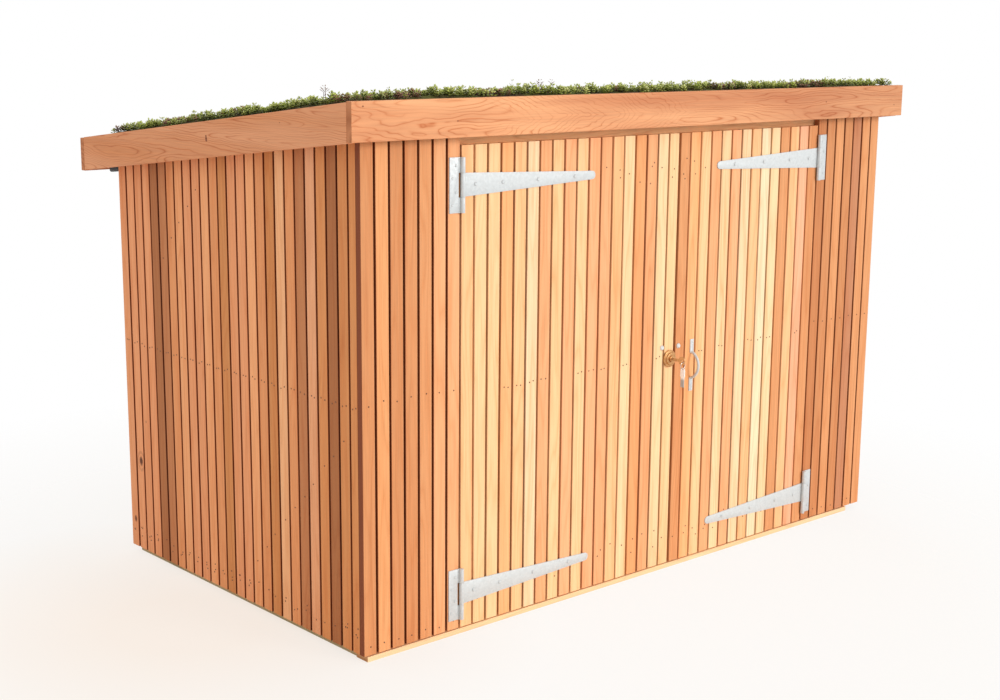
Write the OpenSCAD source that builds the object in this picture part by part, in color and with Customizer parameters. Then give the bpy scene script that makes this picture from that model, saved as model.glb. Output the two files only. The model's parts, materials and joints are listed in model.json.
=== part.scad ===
// Bike shelter: a closed store of upright cedar boards with two side-hung doors, under a planted roof
// that falls to the back. +X is to the right seen from the front, the front faces -Y, the ground is
// z = 0, and the origin is the middle of the body, on the underside of the middle bearer.
// All sizes are in millimetres.

/* [Body] */
// Width over the side boards
body_w = 2018; // [1680:1:2600]
// Depth over the front and back boards
body_d = 1146; // [900:1:1500]
// Height of the roof boards' lower edge at the front
eaves_h = 1278; // [1050:1:1600]
// Height of the wall boards' lower ends above the ground
board_clear = 20; // [18:1:40]
// Thickness of the wall and door boards
board_t = 18; // [12:1:24]

/* [Framing] */
// Depth of a wall timber, from its boards inwards
stud_t = 34; // [28:1:50]
// Width of a wall timber
stud_w = 45; // [35:1:60]
// Number of bays between the timbers of each side wall
side_bays = 2; // [1:1:3]
// Number of bays between the timbers of the back wall
back_bays = 3; // [2:1:4]
// Height of the middle of the walls' middle rails above the ground
wall_rail_h = 645; // [450:1:800]
// How far the underside of the rail over the doors lies below the roof boards' lower edge
head_rail_drop = 78; // [50:1:120]
// Width of a side wall's braces
brace_w = 45; // [30:1:60]
// Thickness of a side wall's braces
brace_t = 18; // [12:1:25]
// Fall of a brace towards the back, in degrees
brace_angle = 46; // [35:1:60]
// How far in front of its bay's back upright the lower brace meets the bottom rail
lower_brace_foot = 25; // [0:1:200]
// How far behind its bay's front upright the upper brace meets the top rail
upper_brace_head = 82; // [0:1:200]

/* [Base] */
// Height and width of a bearer
bearer_h = 45; // [35:1:60]
// Number of bearers, an odd number
bearer_count = 5; // [3:2:7]
// Thickness of the floor
floor_t = 18; // [12:1:24]
// Thickness of the strip under the front boards
threshold_t = 14; // [10:1:15]
// How far the strip stands back from the face of the front boards
threshold_inset = 5; // [0:1:12]
// How far the strip stops short of the left corner
threshold_left = 14; // [0:1:60]
// How far the strip stops short of the right corner
threshold_right = 58; // [0:1:80]

/* [Roof] */
// Fall of the roof towards the back, in degrees
roof_pitch = 6.7; // [3:0.1:9]
// How far the roof boards stand out past the front boards
overhang_front = 44; // [35:1:90]
// How far the roof boards stand out past the side boards
overhang_side = 55; // [40:1:90]
// How far the roof boards stand out past the back boards
overhang_back = 116; // [80:1:160]
// Height of a roof edge board
fascia_h = 93; // [88:1:130]
// Thickness of a roof edge board
fascia_t = 20; // [16:1:25]
// Height of the rafters' undersides above the roof boards' lower edge
rafter_lift = 14; // [12:1:25]
// Height of a rafter
rafter_h = 45; // [35:1:50]
// Width of a rafter
rafter_w = 45; // [35:1:60]
// Number of rafters
rafter_count = 6; // [4:1:8]
// Thickness of the roof deck
deck_t = 12; // [9:1:18]
// Thickness of the rubber sheet
sheet_t = 1.5; // [1:0.1:3]
// Depth of the growing layer
soil_t = 16; // [10:1:25]
// Height of the plant mat with its tallest sprigs
mat_t = 38; // [25:1:60]
// Width of the bare margin at the back edge of the plants
mat_margin_back = 90; // [20:1:200]
// Width of the bare margin at each side of the plants
mat_margin_side = 12; // [2:1:60]
// Width of the wrapped batten under the back eaves
eaves_batten_w = 56; // [30:1:70]
// How far that batten hangs below the roof boards' lower edge
eaves_batten_drop = 11; // [5:1:30]

/* [Doors] */
// Width of the left door's boards
left_door_w = 784.5; // [600:0.5:950]
// Width of the right door's boards
right_door_w = 608.5; // [480:0.5:740]
// Gap between a door and its fixed panel
hinge_gap = 6; // [5:0.5:10]
// Gap between the two doors
meeting_gap = 9; // [8:0.5:14]
// Gap between a door's frame and the rail above it
door_head_gap = 6; // [5:1:12]
// Gap between the back of a door's boards and the rail that they close against
door_stop_gap = 2; // [1:0.5:5]
// How far the top of a door's boards lies below the roof boards' lower edge
door_board_drop = 22; // [10:1:40]
// Height of the underside of a door's frame above the ground
door_frame_low = 72; // [68:1:100]
// Thickness of a door's frame
door_frame_t = 28; // [20:1:30]
// Width of a door's upright frame timbers
stile_w = 45; // [35:1:60]
// Height of a door's cross timbers
rail_h = 70; // [45:1:90]
// Height of the middle cross timber's centre above the ground
mid_rail_h = 634; // [400:1:760]
// How far a door's frame stands in from the edges of its boards
door_frame_inset = 2; // [2:0.5:8]

/* [Hinges] */
// Height of the lower hinges' centres above the ground
lower_hinge_h = 112; // [100:1:250]
// Depth of the upper hinges' centres below the roof boards' lower edge
upper_hinge_drop = 118; // [100:1:250]
// Height of the plate on the fixed panel
plate_h = 136; // [120:1:160]
// Width of the plate on the fixed panel
plate_w = 29; // [22:1:32]
// Thickness of the hinge metal
hinge_t = 3; // [2:0.5:4]
// Length of a strap from its pin to its tip
strap_l = 460; // [300:1:560]
// Height of a strap at its pin
strap_root_h = 60; // [40:1:64]
// Height of a strap at its round tip
strap_tip_h = 22; // [14:1:30]
// Diameter of a hinge pin
pin_d = 7; // [6:0.5:8]
// Diameter of a hinge knuckle
knuckle_d = 12; // [11:0.5:14]
// Distance from the face of the boards to the middle of a hinge pin
pin_out = 8; // [8:0.5:10]

/* [Lock and handle] */
// Height of the lock above the ground
lock_h = 626; // [450:1:800]
// Distance from the left door's meeting edge to the middle of the lock
lock_from_edge = 17.5; // [17.5:0.5:40]
// Diameter of the lock's round plate
rose_d = 49; // [36:1:49]
// Thickness of the lock's round plate
rose_t = 11; // [6:1:14]
// Diameter of the lock's barrel
barrel_d = 17; // [14:1:20]
// Width of the lock case behind the door
case_w = 58; // [45:1:70]
// Height of the lock case and of its keep
case_h = 72; // [50:1:90]
// Depth of the lock case and of its keep
case_t = 22; // [15:1:28]
// Height of the handle's middle above the ground
handle_h = 595; // [450:1:800]
// Distance from the right door's meeting edge to the middle of the handle
handle_from_edge = 68; // [40:1:120]
// Radius of the handle's bow
bow_r = 40; // [34:1:60]
// How far the handle's bow stands out from the boards
bow_reach = 33; // [30:1:50]
// Diameter of the handle's bar
bow_d = 8; // [6:0.5:12]
// Height of a handle foot
foot_h = 39; // [30:1:50]
// Distance between the middles of the handle's feet
foot_spacing = 112; // [95:1:130]
// Width of a handle foot
foot_w = 14; // [12:1:30]

/* [Hidden] */

cedar = "#E0A070";
cedar_door = "#F2C795";
cedar_red = "#C98A5C";
treated = "#8C8458";
metal = "#D8DEDF";
brass = "#B98B4A";

// Body faces
half_w = body_w / 2;
front_y = -body_d / 2;
back_y = body_d / 2;
frame_x = half_w - board_t;
room_x = frame_x - stud_t;
frame_front_y = front_y + board_t;
room_front_y = frame_front_y + stud_t;
room_back_y = back_y - board_t - stud_t;
frame_back_y = back_y - board_t;
side_bay_w = (room_back_y - room_front_y - (side_bays + 1) * stud_w) / side_bays;

// Roof edge
slope = tan(roof_pitch);
roof_front_y = front_y - overhang_front;
roof_back_y = back_y + overhang_back;
roof_x = half_w + overhang_side;
tray_x = roof_x - fascia_t;
tray_front_y = roof_front_y + fascia_t;
tray_back_y = roof_back_y - fascia_t;

// Heights of the roof's layers above the roof boards' lower edge
deck_rise = rafter_lift + rafter_h;
sheet_rise = deck_rise + deck_t;
soil_rise = sheet_rise + sheet_t;
mat_rise = soil_rise + soil_t;
mat_top_rise = mat_rise + mat_t;

// Clearance between two pieces that meet along the roof's slope
slope_play = 0.02;

// Doors
panel_w = (body_w - left_door_w - right_door_w - 2 * hinge_gap - meeting_gap) / 2;
left_post_x = -half_w + panel_w;
right_post_x = half_w - panel_w;
left_door_x = left_post_x + hinge_gap;
left_edge_x = left_door_x + left_door_w;
right_edge_x = left_edge_x + meeting_gap;
right_door_x = right_edge_x + right_door_w;
head_rail_z = eaves_h - head_rail_drop;
door_top = head_rail_z - door_head_gap;
door_board_top = eaves_h - door_board_drop;
door_back_y = frame_front_y + door_frame_t;

// Hinges
pin_y = front_y - pin_out;
left_pin_x = left_post_x + hinge_gap / 2;
right_pin_x = right_post_x - hinge_gap / 2;
hinge_zs = [lower_hinge_h, eaves_h - upper_hinge_drop];
pin_clear = 0.06;
knuckle_clear = 0.4;
plate_from_pin = 9;
link_sink = 1;

// Lock, keys and handle
lock_x = left_edge_x - lock_from_edge;
rose_step_d = 14;
rose_face_y = front_y - rose_t;
barrel_out = 3;
barrel_face_y = rose_face_y - barrel_out;
barrel_clear = 0.3;
case_inset = 5;
key_t = 2.2;
key_blade_h = 8;
key_slot_depth = 7;
key_clear = 0.2;
key_bow_r = 12.5;
key_bow_out = 36;
key_bow_y = barrel_face_y - key_bow_out;
key_hole_r = 4;
key_hole_off = 4;
key_hole_y = key_bow_y - key_hole_off;
ring_r = 9;
ring_wire_r = 0.9;
ring_seat = 0.1;
ring_top_z = lock_h - key_hole_r + ring_wire_r + ring_seat;
ring_z = ring_top_z - ring_r;
spare_hole_r = 3;
spare_hole_z = ring_z - ring_r + ring_wire_r + ring_seat - spare_hole_r;
spare_bow_r = 8;
spare_head_h = 14;
spare_bow_z = spare_hole_z - key_hole_off;
spare_rim = 2;
spare_l = 56;
spare_blade_w = 12;
handle_x = right_edge_x + handle_from_edge;

EPS = 1;

// Height of the line that lies rise above the roof boards' lower edge
function roof_z(y, rise = 0) = eaves_h + rise - slope * (y - roof_front_y);

// A box between two corners
module block(low, high) {
    translate(low) cube(high - low);
}

// A drawing in Y and Z, drawn out along X
module along_x(x0, x1) {
    translate([x0, 0, 0]) rotate([90, 0, 90]) linear_extrude(x1 - x0) children();
}

// A drawing in X and Z, drawn out along Y
module along_y(y0, y1) {
    translate([0, y1, 0]) rotate([90, 0, 0]) linear_extrude(y1 - y0) children();
}

// A rectangle between two corners
module rect(a0, b0, a1, b1) {
    translate([a0, b0]) square([a1 - a0, b1 - b0]);
}

// A layer that lies along the roof's slope
module roof_layer(x0, x1, y0, y1, rise0, rise1) {
    along_x(x0, x1)
        polygon([
            [y0, roof_z(y0, rise0)], [y1, roof_z(y1, rise0)],
            [y1, roof_z(y1, rise1)], [y0, roof_z(y0, rise1)]
        ]);
}

// What its children have below the sloping piece whose underside is rise above the roof boards' lower edge
module below_roof(rise) {
    top = rise - slope_play;
    intersection() {
        children();
        along_x(-roof_x, roof_x)
            polygon([
                [roof_front_y, 0], [roof_back_y, 0],
                [roof_back_y, roof_z(roof_back_y, top)], [roof_front_y, roof_z(roof_front_y, top)]
            ]);
    }
}

// Base ---------------------------------------------------------------------------------------------

module base_bearers() {
    spread = frame_x - bearer_h / 2;
    color(treated)
        for (i = [0 : bearer_count - 1]) {
            x = -spread + i * 2 * spread / (bearer_count - 1);
            block([x - bearer_h / 2, room_front_y, 0], [x + bearer_h / 2, frame_back_y, bearer_h]);
        }
}

module floor_deck() {
    color(cedar)
        block([-room_x, room_front_y, bearer_h], [room_x, room_back_y, bearer_h + floor_t]);
}

module front_threshold() {
    color(cedar_door)
        block(
            [-half_w + threshold_left, front_y + threshold_inset, 0],
            [half_w - threshold_right, room_front_y, threshold_t]
        );
}

// Walls --------------------------------------------------------------------------------------------

// Front of bay i of a side wall
function bay_y(i) = room_front_y + stud_w + i * (side_bay_w + stud_w);

// The opening in bay i of a side wall, below its middle rail
module lower_bay(i) {
    rect(bay_y(i), bearer_h + stud_w, bay_y(i) + side_bay_w, wall_rail_h - stud_w / 2);
}

// The opening in bay i of a side wall, above its middle rail, with a top that follows the roof
module upper_bay(i) {
    low = wall_rail_h + stud_w / 2;
    y0 = bay_y(i);
    y1 = y0 + side_bay_w;
    polygon([
        [y0, low], [y1, low], [y1, roof_z(y1, rafter_lift - stud_w)], [y0, roof_z(y0, rafter_lift - stud_w)]
    ]);
}

// One side wall's timbers: three rails and the uprights between them
module side_frame(x0) {
    top = rafter_lift - slope_play;
    color(cedar)
        along_x(x0, x0 + stud_t)
            difference() {
                polygon([
                    [room_front_y, bearer_h], [room_back_y, bearer_h],
                    [room_back_y, roof_z(room_back_y, top)],
                    [room_front_y, roof_z(room_front_y, top)]
                ]);
                for (i = [0 : side_bays - 1]) {
                    lower_bay(i);
                    upper_bay(i);
                }
            }
}

module left_wall_frame() {
    side_frame(-frame_x);
}

module right_wall_frame() {
    side_frame(room_x);
}

// A line of brace that falls towards the back through one point
module brace_line(y, z) {
    translate([y, z]) rotate(-brace_angle) square([2 * body_d, brace_w], center = true);
}

// One side wall's braces: one in the lower front bay and one in the upper back bay
module side_braces(x0) {
    last = side_bays - 1;
    foot_y = bay_y(0) + side_bay_w - lower_brace_foot;
    head_y = bay_y(last) + upper_brace_head;
    color(cedar) {
        along_x(x0, x0 + brace_t)
            intersection() {
                lower_bay(0);
                brace_line(foot_y, bearer_h + stud_w);
            }
        along_x(x0, x0 + brace_t)
            intersection() {
                upper_bay(last);
                brace_line(head_y, roof_z(head_y, rafter_lift - stud_w));
            }
    }
}

module left_wall_braces() {
    side_braces(-frame_x);
}

module right_wall_braces() {
    side_braces(frame_x - brace_t);
}

module back_wall_frame() {
    bay_w = (2 * frame_x - (back_bays + 1) * stud_w) / back_bays;
    top = roof_z(frame_back_y, rafter_lift) - stud_w;
    color(cedar)
        below_roof(rafter_lift)
            along_y(room_back_y, frame_back_y)
                difference() {
                    rect(-frame_x, bearer_h, frame_x, eaves_h);
                    for (i = [0 : back_bays - 1]) {
                        x0 = -frame_x + stud_w + i * (bay_w + stud_w);
                        rect(x0, bearer_h + stud_w, x0 + bay_w, wall_rail_h - stud_w / 2);
                        rect(x0, wall_rail_h + stud_w / 2, x0 + bay_w, top);
                    }
                }
}

// The timbers behind a fixed front panel: a corner post, a hinge post and three rails
module front_frame(x0, x1) {
    top = roof_z(room_front_y, rafter_lift) - stud_w;
    color(cedar)
        below_roof(rafter_lift)
            along_y(frame_front_y, room_front_y)
                difference() {
                    rect(x0, board_clear, x1, eaves_h + rafter_lift);
                    rect(x0 + stud_w, board_clear + stud_w, x1 - stud_w, wall_rail_h - stud_w / 2);
                    rect(x0 + stud_w, wall_rail_h + stud_w / 2, x1 - stud_w, top);
                }
}

module front_left_frame() {
    front_frame(-frame_x, left_post_x);
}

module front_right_frame() {
    front_frame(right_post_x, frame_x);
}

// The rail between the two fixed panels, which shows above the doors' boards
module front_head_rail() {
    color(cedar)
        below_roof(rafter_lift)
            block(
                [left_post_x, frame_front_y + door_stop_gap, head_rail_z],
                [right_post_x, room_front_y, eaves_h + rafter_lift]
            );
}

// The upright boards of one side wall, taken as one sheet
module side_boards(x0) {
    color(cedar_red)
        below_roof(deck_rise)
            block([x0, frame_front_y, board_clear], [x0 + board_t, back_y, eaves_h + deck_rise]);
}

module left_wall_boards() {
    side_boards(-half_w);
}

module right_wall_boards() {
    side_boards(frame_x);
}

module back_wall_boards() {
    color(cedar_red)
        below_roof(rafter_lift)
            block([-frame_x, frame_back_y, board_clear], [frame_x, back_y, eaves_h]);
}

// The upright boards of one fixed front panel, taken as one sheet
module front_boards(x0, x1) {
    color(cedar)
        below_roof(rafter_lift)
            block([x0, front_y, board_clear], [x1, frame_front_y, eaves_h + rafter_lift]);
}

module front_left_boards() {
    front_boards(-half_w, left_post_x);
}

module front_right_boards() {
    front_boards(right_post_x, half_w);
}

// Roof ---------------------------------------------------------------------------------------------

module rafters() {
    spread = frame_x - rafter_w / 2;
    color(cedar)
        for (i = [0 : rafter_count - 1]) {
            x = -spread + i * 2 * spread / (rafter_count - 1);
            roof_layer(
                x - rafter_w / 2, x + rafter_w / 2, tray_front_y, tray_back_y, rafter_lift, deck_rise
            );
        }
}

module soffit_battens() {
    color(cedar)
        for (x = [-tray_x, half_w])
            roof_layer(x, x + tray_x - half_w, tray_front_y, tray_back_y, rafter_lift, deck_rise);
}

module roof_deck() {
    color(cedar)
        roof_layer(-tray_x, tray_x, tray_front_y, tray_back_y, deck_rise, sheet_rise);
}

// The rubber sheet: a shallow tray with its edges turned up behind the roof edge boards
module roof_sheet() {
    color("#202020")
        difference() {
            roof_layer(-tray_x, tray_x, tray_front_y, tray_back_y, sheet_rise, mat_rise);
            roof_layer(
                -tray_x + sheet_t, tray_x - sheet_t, tray_front_y + sheet_t, tray_back_y - sheet_t,
                soil_rise, mat_rise + EPS
            );
        }
}

module growing_layer() {
    color("#3A2C20")
        roof_layer(
            -tray_x + sheet_t, tray_x - sheet_t, tray_front_y + sheet_t, tray_back_y - sheet_t,
            soil_rise, mat_rise
        );
}

module plant_mat() {
    side = tray_x - sheet_t - mat_margin_side;
    color("#6F8A3C")
        roof_layer(
            -side, side, tray_front_y + sheet_t, tray_back_y - sheet_t - mat_margin_back,
            mat_rise + slope_play, mat_top_rise
        );
}

module front_fascia() {
    color(cedar)
        block([-roof_x, roof_front_y, eaves_h], [roof_x, tray_front_y, eaves_h + fascia_h]);
}

module back_fascia() {
    low = roof_z(roof_back_y);
    color(cedar)
        block([-roof_x, tray_back_y, low], [roof_x, roof_back_y, low + fascia_h]);
}

module left_fascia() {
    color(cedar_red)
        roof_layer(-roof_x, -tray_x, tray_front_y, tray_back_y, 0, fascia_h);
}

module right_fascia() {
    color(cedar_red)
        roof_layer(tray_x, roof_x, tray_front_y, tray_back_y, 0, fascia_h);
}

module rear_eaves_batten() {
    color("#1C1C1C")
        roof_layer(
            -half_w, half_w, back_y, back_y + eaves_batten_w,
            -eaves_batten_drop, rafter_lift - slope_play
        );
}

// Hinges -------------------------------------------------------------------------------------------

// One fixed hinge half: the plate, the outer knuckles and the pin. side is -1 with the plate left of
// the pin, and 1 with the plate right of it.
module hinge_plate(pin_x, z, side) {
    knuckle_h = (plate_h - strap_root_h) / 2;
    plate_x = side < 0 ? -plate_from_pin - plate_w : plate_from_pin;
    link_w = plate_from_pin + link_sink;
    link_x = side < 0 ? -link_w : 0;
    translate([pin_x, pin_y, z]) {
        block(
            [plate_x, pin_out - hinge_t, -plate_h / 2],
            [plate_x + plate_w, pin_out, plate_h / 2]
        );
        for (end = [-plate_h / 2, plate_h / 2 - knuckle_h]) {
            translate([0, 0, end])
                cylinder(h = knuckle_h, d = knuckle_d, $fn = 48);
            block(
                [link_x, pin_out - hinge_t - link_sink, end],
                [link_x + link_w, pin_out - link_sink, end + knuckle_h]
            );
        }
        translate([0, 0, -plate_h / 2])
            cylinder(h = plate_h, d = pin_d, $fn = 48);
    }
}

module left_hinge_plates() {
    color(metal)
        for (z = hinge_zs)
            hinge_plate(left_pin_x, z, -1);
}

module right_hinge_plates() {
    color(metal)
        for (z = hinge_zs)
            hinge_plate(right_pin_x, z, 1);
}

// One moving hinge half: the middle knuckle and the tapered strap with its round tip. side is 1 with
// the strap right of the pin, and -1 with the strap left of it.
module hinge_strap(pin_x, z, side) {
    root_h = strap_root_h - 2 * knuckle_clear;
    tip_r = strap_tip_h / 2;
    translate([pin_x, pin_y, z])
        difference() {
            union() {
                translate([0, 0, -root_h / 2])
                    cylinder(h = root_h, d = knuckle_d, $fn = 48);
                along_y(pin_out - hinge_t, pin_out)
                    union() {
                        polygon([
                            [0, -root_h / 2], [0, root_h / 2],
                            [side * (strap_l - tip_r), tip_r], [side * (strap_l - tip_r), -tip_r]
                        ]);
                        translate([side * (strap_l - tip_r), 0])
                            circle(r = tip_r, $fn = 48);
                    }
            }
            translate([0, 0, -strap_root_h])
                cylinder(h = 2 * strap_root_h, d = pin_d + 2 * pin_clear, $fn = 48);
        }
}

module left_door_straps() {
    color(metal)
        for (z = hinge_zs)
            hinge_strap(left_pin_x, z, 1);
}

module right_door_straps() {
    color(metal)
        for (z = hinge_zs)
            hinge_strap(right_pin_x, z, -1);
}

// Doors --------------------------------------------------------------------------------------------

// A door's timbers: two uprights and three cross rails
module door_frame(x0, x1) {
    low = door_frame_low;
    color(cedar)
        along_y(frame_front_y, door_back_y)
            difference() {
                rect(x0, low, x1, door_top);
                rect(x0 + stile_w, low + rail_h, x1 - stile_w, mid_rail_h - rail_h / 2);
                rect(x0 + stile_w, mid_rail_h + rail_h / 2, x1 - stile_w, door_top - rail_h);
            }
}

module left_door_frame() {
    door_frame(left_door_x + door_frame_inset, left_edge_x - door_frame_inset);
}

module right_door_frame() {
    door_frame(right_edge_x + door_frame_inset, right_door_x - door_frame_inset);
}

// A door's upright boards, taken as one sheet
module door_boards(x0, x1) {
    color(cedar_door)
        block([x0, front_y, board_clear], [x1, frame_front_y, door_board_top]);
}

module left_door_boards() {
    door_boards(left_door_x, left_edge_x);
}

module right_door_boards() {
    door_boards(right_edge_x, right_door_x);
}

// Lock and handle ----------------------------------------------------------------------------------

// A round piece with its axis along Y, from y0 to y1
module disc_y(x, z, y0, y1, d) {
    translate([x, y1, z]) rotate([90, 0, 0]) cylinder(h = y1 - y0, d = d, $fn = 64);
}

module lock_rose() {
    step_t = rose_t / 2;
    step_d = rose_d - rose_step_d;
    color(brass)
        difference() {
            union() {
                disc_y(lock_x, lock_h, front_y - step_t, front_y, rose_d);
                disc_y(lock_x, lock_h, rose_face_y, front_y - step_t, step_d);
            }
            disc_y(lock_x, lock_h, rose_face_y - EPS, front_y + EPS, barrel_d + 2 * barrel_clear);
        }
}

module lock_barrel() {
    slot = key_t / 2 + key_clear;
    color(brass)
        difference() {
            disc_y(lock_x, lock_h, barrel_face_y, front_y, barrel_d);
            block(
                [lock_x - slot, barrel_face_y - EPS, lock_h - key_blade_h / 2 - key_clear],
                [lock_x + slot, barrel_face_y + key_slot_depth, lock_h + key_blade_h / 2 + key_clear]
            );
        }
}

module lock_case() {
    x1 = left_edge_x - door_frame_inset - case_inset;
    color(metal)
        block(
            [x1 - case_w, door_back_y, lock_h - case_h / 2],
            [x1, door_back_y + case_t, lock_h + case_h / 2]
        );
}

module lock_keep() {
    x0 = right_edge_x + door_frame_inset + case_inset;
    color(metal)
        block(
            [x0, door_back_y, lock_h - case_h / 2],
            [x0 + stile_w / 2, door_back_y + case_t, lock_h + case_h / 2]
        );
}

module key() {
    color(brass)
        along_x(lock_x - key_t / 2, lock_x + key_t / 2)
            difference() {
                union() {
                    rect(key_bow_y, lock_h - key_blade_h / 2, barrel_face_y + key_slot_depth - key_clear,
                         lock_h + key_blade_h / 2);
                    translate([key_bow_y, lock_h])
                        circle(r = key_bow_r, $fn = 64);
                }
                translate([key_hole_y, lock_h])
                    circle(r = key_hole_r, $fn = 48);
            }
}

module key_ring() {
    color(metal)
        translate([lock_x, key_hole_y, ring_z])
            rotate([90, 0, 0])
                rotate_extrude($fn = 64)
                    translate([ring_r, 0])
                        circle(r = ring_wire_r, $fn = 24);
}

module spare_key() {
    low = spare_hole_z + spare_hole_r + spare_rim - spare_l;
    color(metal)
        along_x(lock_x - key_t / 2, lock_x + key_t / 2)
            difference() {
                union() {
                    rect(key_hole_y - spare_blade_w / 2, low, key_hole_y + spare_blade_w / 2, spare_bow_z);
                    hull()
                        for (z = [spare_bow_z - spare_head_h, spare_bow_z])
                            translate([key_hole_y, z])
                                circle(r = spare_bow_r, $fn = 64);
                }
                translate([key_hole_y, spare_hole_z])
                    circle(r = spare_hole_r, $fn = 48);
            }
}

// The pull handle: two feet on the door's boards and a half-round bow between them
module pull_handle() {
    bow_y = front_y - bow_reach + bow_r + bow_d / 2;
    color(metal) {
        for (z = [handle_h - foot_spacing / 2, handle_h + foot_spacing / 2])
            block(
                [handle_x - foot_w / 2, front_y - hinge_t, z - foot_h / 2],
                [handle_x + foot_w / 2, front_y, z + foot_h / 2]
            );
        intersection() {
            translate([handle_x, bow_y, handle_h])
                rotate([0, 90, 0])
                    rotate_extrude($fn = 96)
                        translate([bow_r, 0])
                            circle(d = bow_d, $fn = 32);
            block(
                [handle_x - bow_r, front_y - 2 * bow_r, handle_h - 2 * bow_r],
                [handle_x + bow_r, front_y - hinge_t / 2, handle_h + 2 * bow_r]
            );
        }
    }
}

base_bearers();
floor_deck();
front_threshold();
left_wall_frame();
right_wall_frame();
back_wall_frame();
left_wall_braces();
right_wall_braces();
front_left_frame();
front_right_frame();
front_head_rail();
left_wall_boards();
right_wall_boards();
back_wall_boards();
front_left_boards();
front_right_boards();
rafters();
soffit_battens();
roof_deck();
roof_sheet();
growing_layer();
plant_mat();
front_fascia();
left_fascia();
right_fascia();
back_fascia();
rear_eaves_batten();
left_hinge_plates();
right_hinge_plates();
left_door_frame();
left_door_boards();
left_door_straps();
lock_rose();
lock_barrel();
lock_case();
key();
key_ring();
spare_key();
right_door_frame();
right_door_boards();
right_door_straps();
pull_handle();
lock_keep();
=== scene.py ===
"""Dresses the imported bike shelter: cedar boards, planted roof, galvanised ironwork, lock and keys.

Each part of the shelter is a class with its sizes as fields and methods that build and dress it.
Boards, nails, bolts and roof plants are made by Geometry Nodes and turned into plain meshes, each of
which rides on one body. Sizes are in metres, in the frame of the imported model: +X to the right seen
from the front, -Y to the front and +Z up.
"""
import json
import logging
import math
import random
from dataclasses import dataclass
from enum import Enum

import bmesh
import bpy
from mathutils import Matrix, Vector, noise

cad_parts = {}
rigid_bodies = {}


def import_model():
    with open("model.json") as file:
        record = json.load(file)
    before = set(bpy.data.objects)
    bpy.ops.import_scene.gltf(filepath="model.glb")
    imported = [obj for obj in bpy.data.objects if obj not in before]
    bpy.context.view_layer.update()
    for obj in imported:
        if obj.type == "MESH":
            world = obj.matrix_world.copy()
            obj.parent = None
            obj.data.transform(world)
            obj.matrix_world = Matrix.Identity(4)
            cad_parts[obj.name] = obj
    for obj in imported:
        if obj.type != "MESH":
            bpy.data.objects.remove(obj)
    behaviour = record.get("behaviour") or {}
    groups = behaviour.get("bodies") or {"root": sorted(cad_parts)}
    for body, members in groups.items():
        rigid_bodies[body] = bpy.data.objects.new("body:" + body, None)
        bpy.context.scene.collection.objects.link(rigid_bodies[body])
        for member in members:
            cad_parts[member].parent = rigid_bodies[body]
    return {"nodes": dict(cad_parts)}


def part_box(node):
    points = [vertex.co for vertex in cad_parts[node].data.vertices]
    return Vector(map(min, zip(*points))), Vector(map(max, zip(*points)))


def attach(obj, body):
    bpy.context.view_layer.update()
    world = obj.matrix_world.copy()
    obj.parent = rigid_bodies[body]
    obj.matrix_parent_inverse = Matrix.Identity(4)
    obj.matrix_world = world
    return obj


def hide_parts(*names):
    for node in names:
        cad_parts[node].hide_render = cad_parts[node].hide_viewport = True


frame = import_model()

LOG = logging.getLogger("bike_shelter")
SLOPE = math.tan(math.radians(6.7))  # the roof's fall
SUNK = 0.0002  # how far nails, screws and bolts sit in a face
SAME_PLACE = 1e-5  # points nearer than this are one point
FLAT = math.radians(0.5)  # faces that meet at less are one face
HARD_EDGE = math.radians(35)  # edges that turn more are eased
ROUND_EDGE = math.radians(38)  # edges that turn less are shaded smooth
SAWN_CEDAR = ("#E3B588", "#C98F60")

Socket = bpy.types.NodeSocket
Pair = tuple[float, float]
Place = tuple[float, float, float]
Colour = tuple[float, float, float, float]


def linear(hex_colour: str) -> Colour:
    """The linear colour of a hex colour such as '#F0A878'.

    Args:
        hex_colour: A hash and six hex digits.

    Returns:
        Red, green, blue and alpha.
    """
    parts = [int(hex_colour[i : i + 2], 16) / 255 for i in (1, 3, 5)]
    red, green, blue = (c / 12.92 if c <= 0.04045 else ((c + 0.055) / 1.055) ** 2.4 for c in parts)
    return (red, green, blue, 1.0)


def scaled(colour: Colour, red: float, green: float, blue: float) -> Colour:
    """A colour with its red, green and blue multiplied, and none of them above 1."""
    return (min(1.0, colour[0] * red), min(1.0, colour[1] * green), min(1.0, colour[2] * blue), 1.0)


class Tone(Enum):
    """The cedar's board colours, from nearly white sapwood to brown heartwood."""

    CREAM = "#FFE2B9"
    IVORY = "#FFDBAE"
    PALE = "#FFD6A4"
    STRAW = "#FFD09A"
    PEACH = "#FFC68F"
    APRICOT = "#FFBB80"
    GINGER = "#FDB784"
    DUSK = "#F8B990"
    HONEY = "#F4B27E"
    AMBER_LIGHT = "#EEA76E"
    AMBER = "#E5A06B"
    GREY_ROSE = "#CC8A62"
    TAN = "#D8925F"
    CLAY = "#CD8452"
    WALL_PEACH = "#FFBC86"
    WALL_PINK = "#F6B080"
    WALL_HONEY = "#FCB078"
    WALL_ROSE = "#F4A571"
    WALL_AMBER = "#F0A067"
    WALL_OCHRE = "#E5985C"
    WALL_GOLD = "#DE9356"
    WALL_DUSK = "#CB8352"
    WALL_BROWN = "#B87343"

    @property
    def colour(self) -> Colour:
        """The tone as a linear colour."""
        return linear(self.value)


class Axis(Enum):
    """A direction along which a piece's grain runs."""

    X = (1, 0, 0)
    Y = (0, 1, 0)
    Z = (0, 0, 1)


FRONTWARD = (0, -1, 0)


# Node trees ----------------------------------------------------------------------------------------


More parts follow.
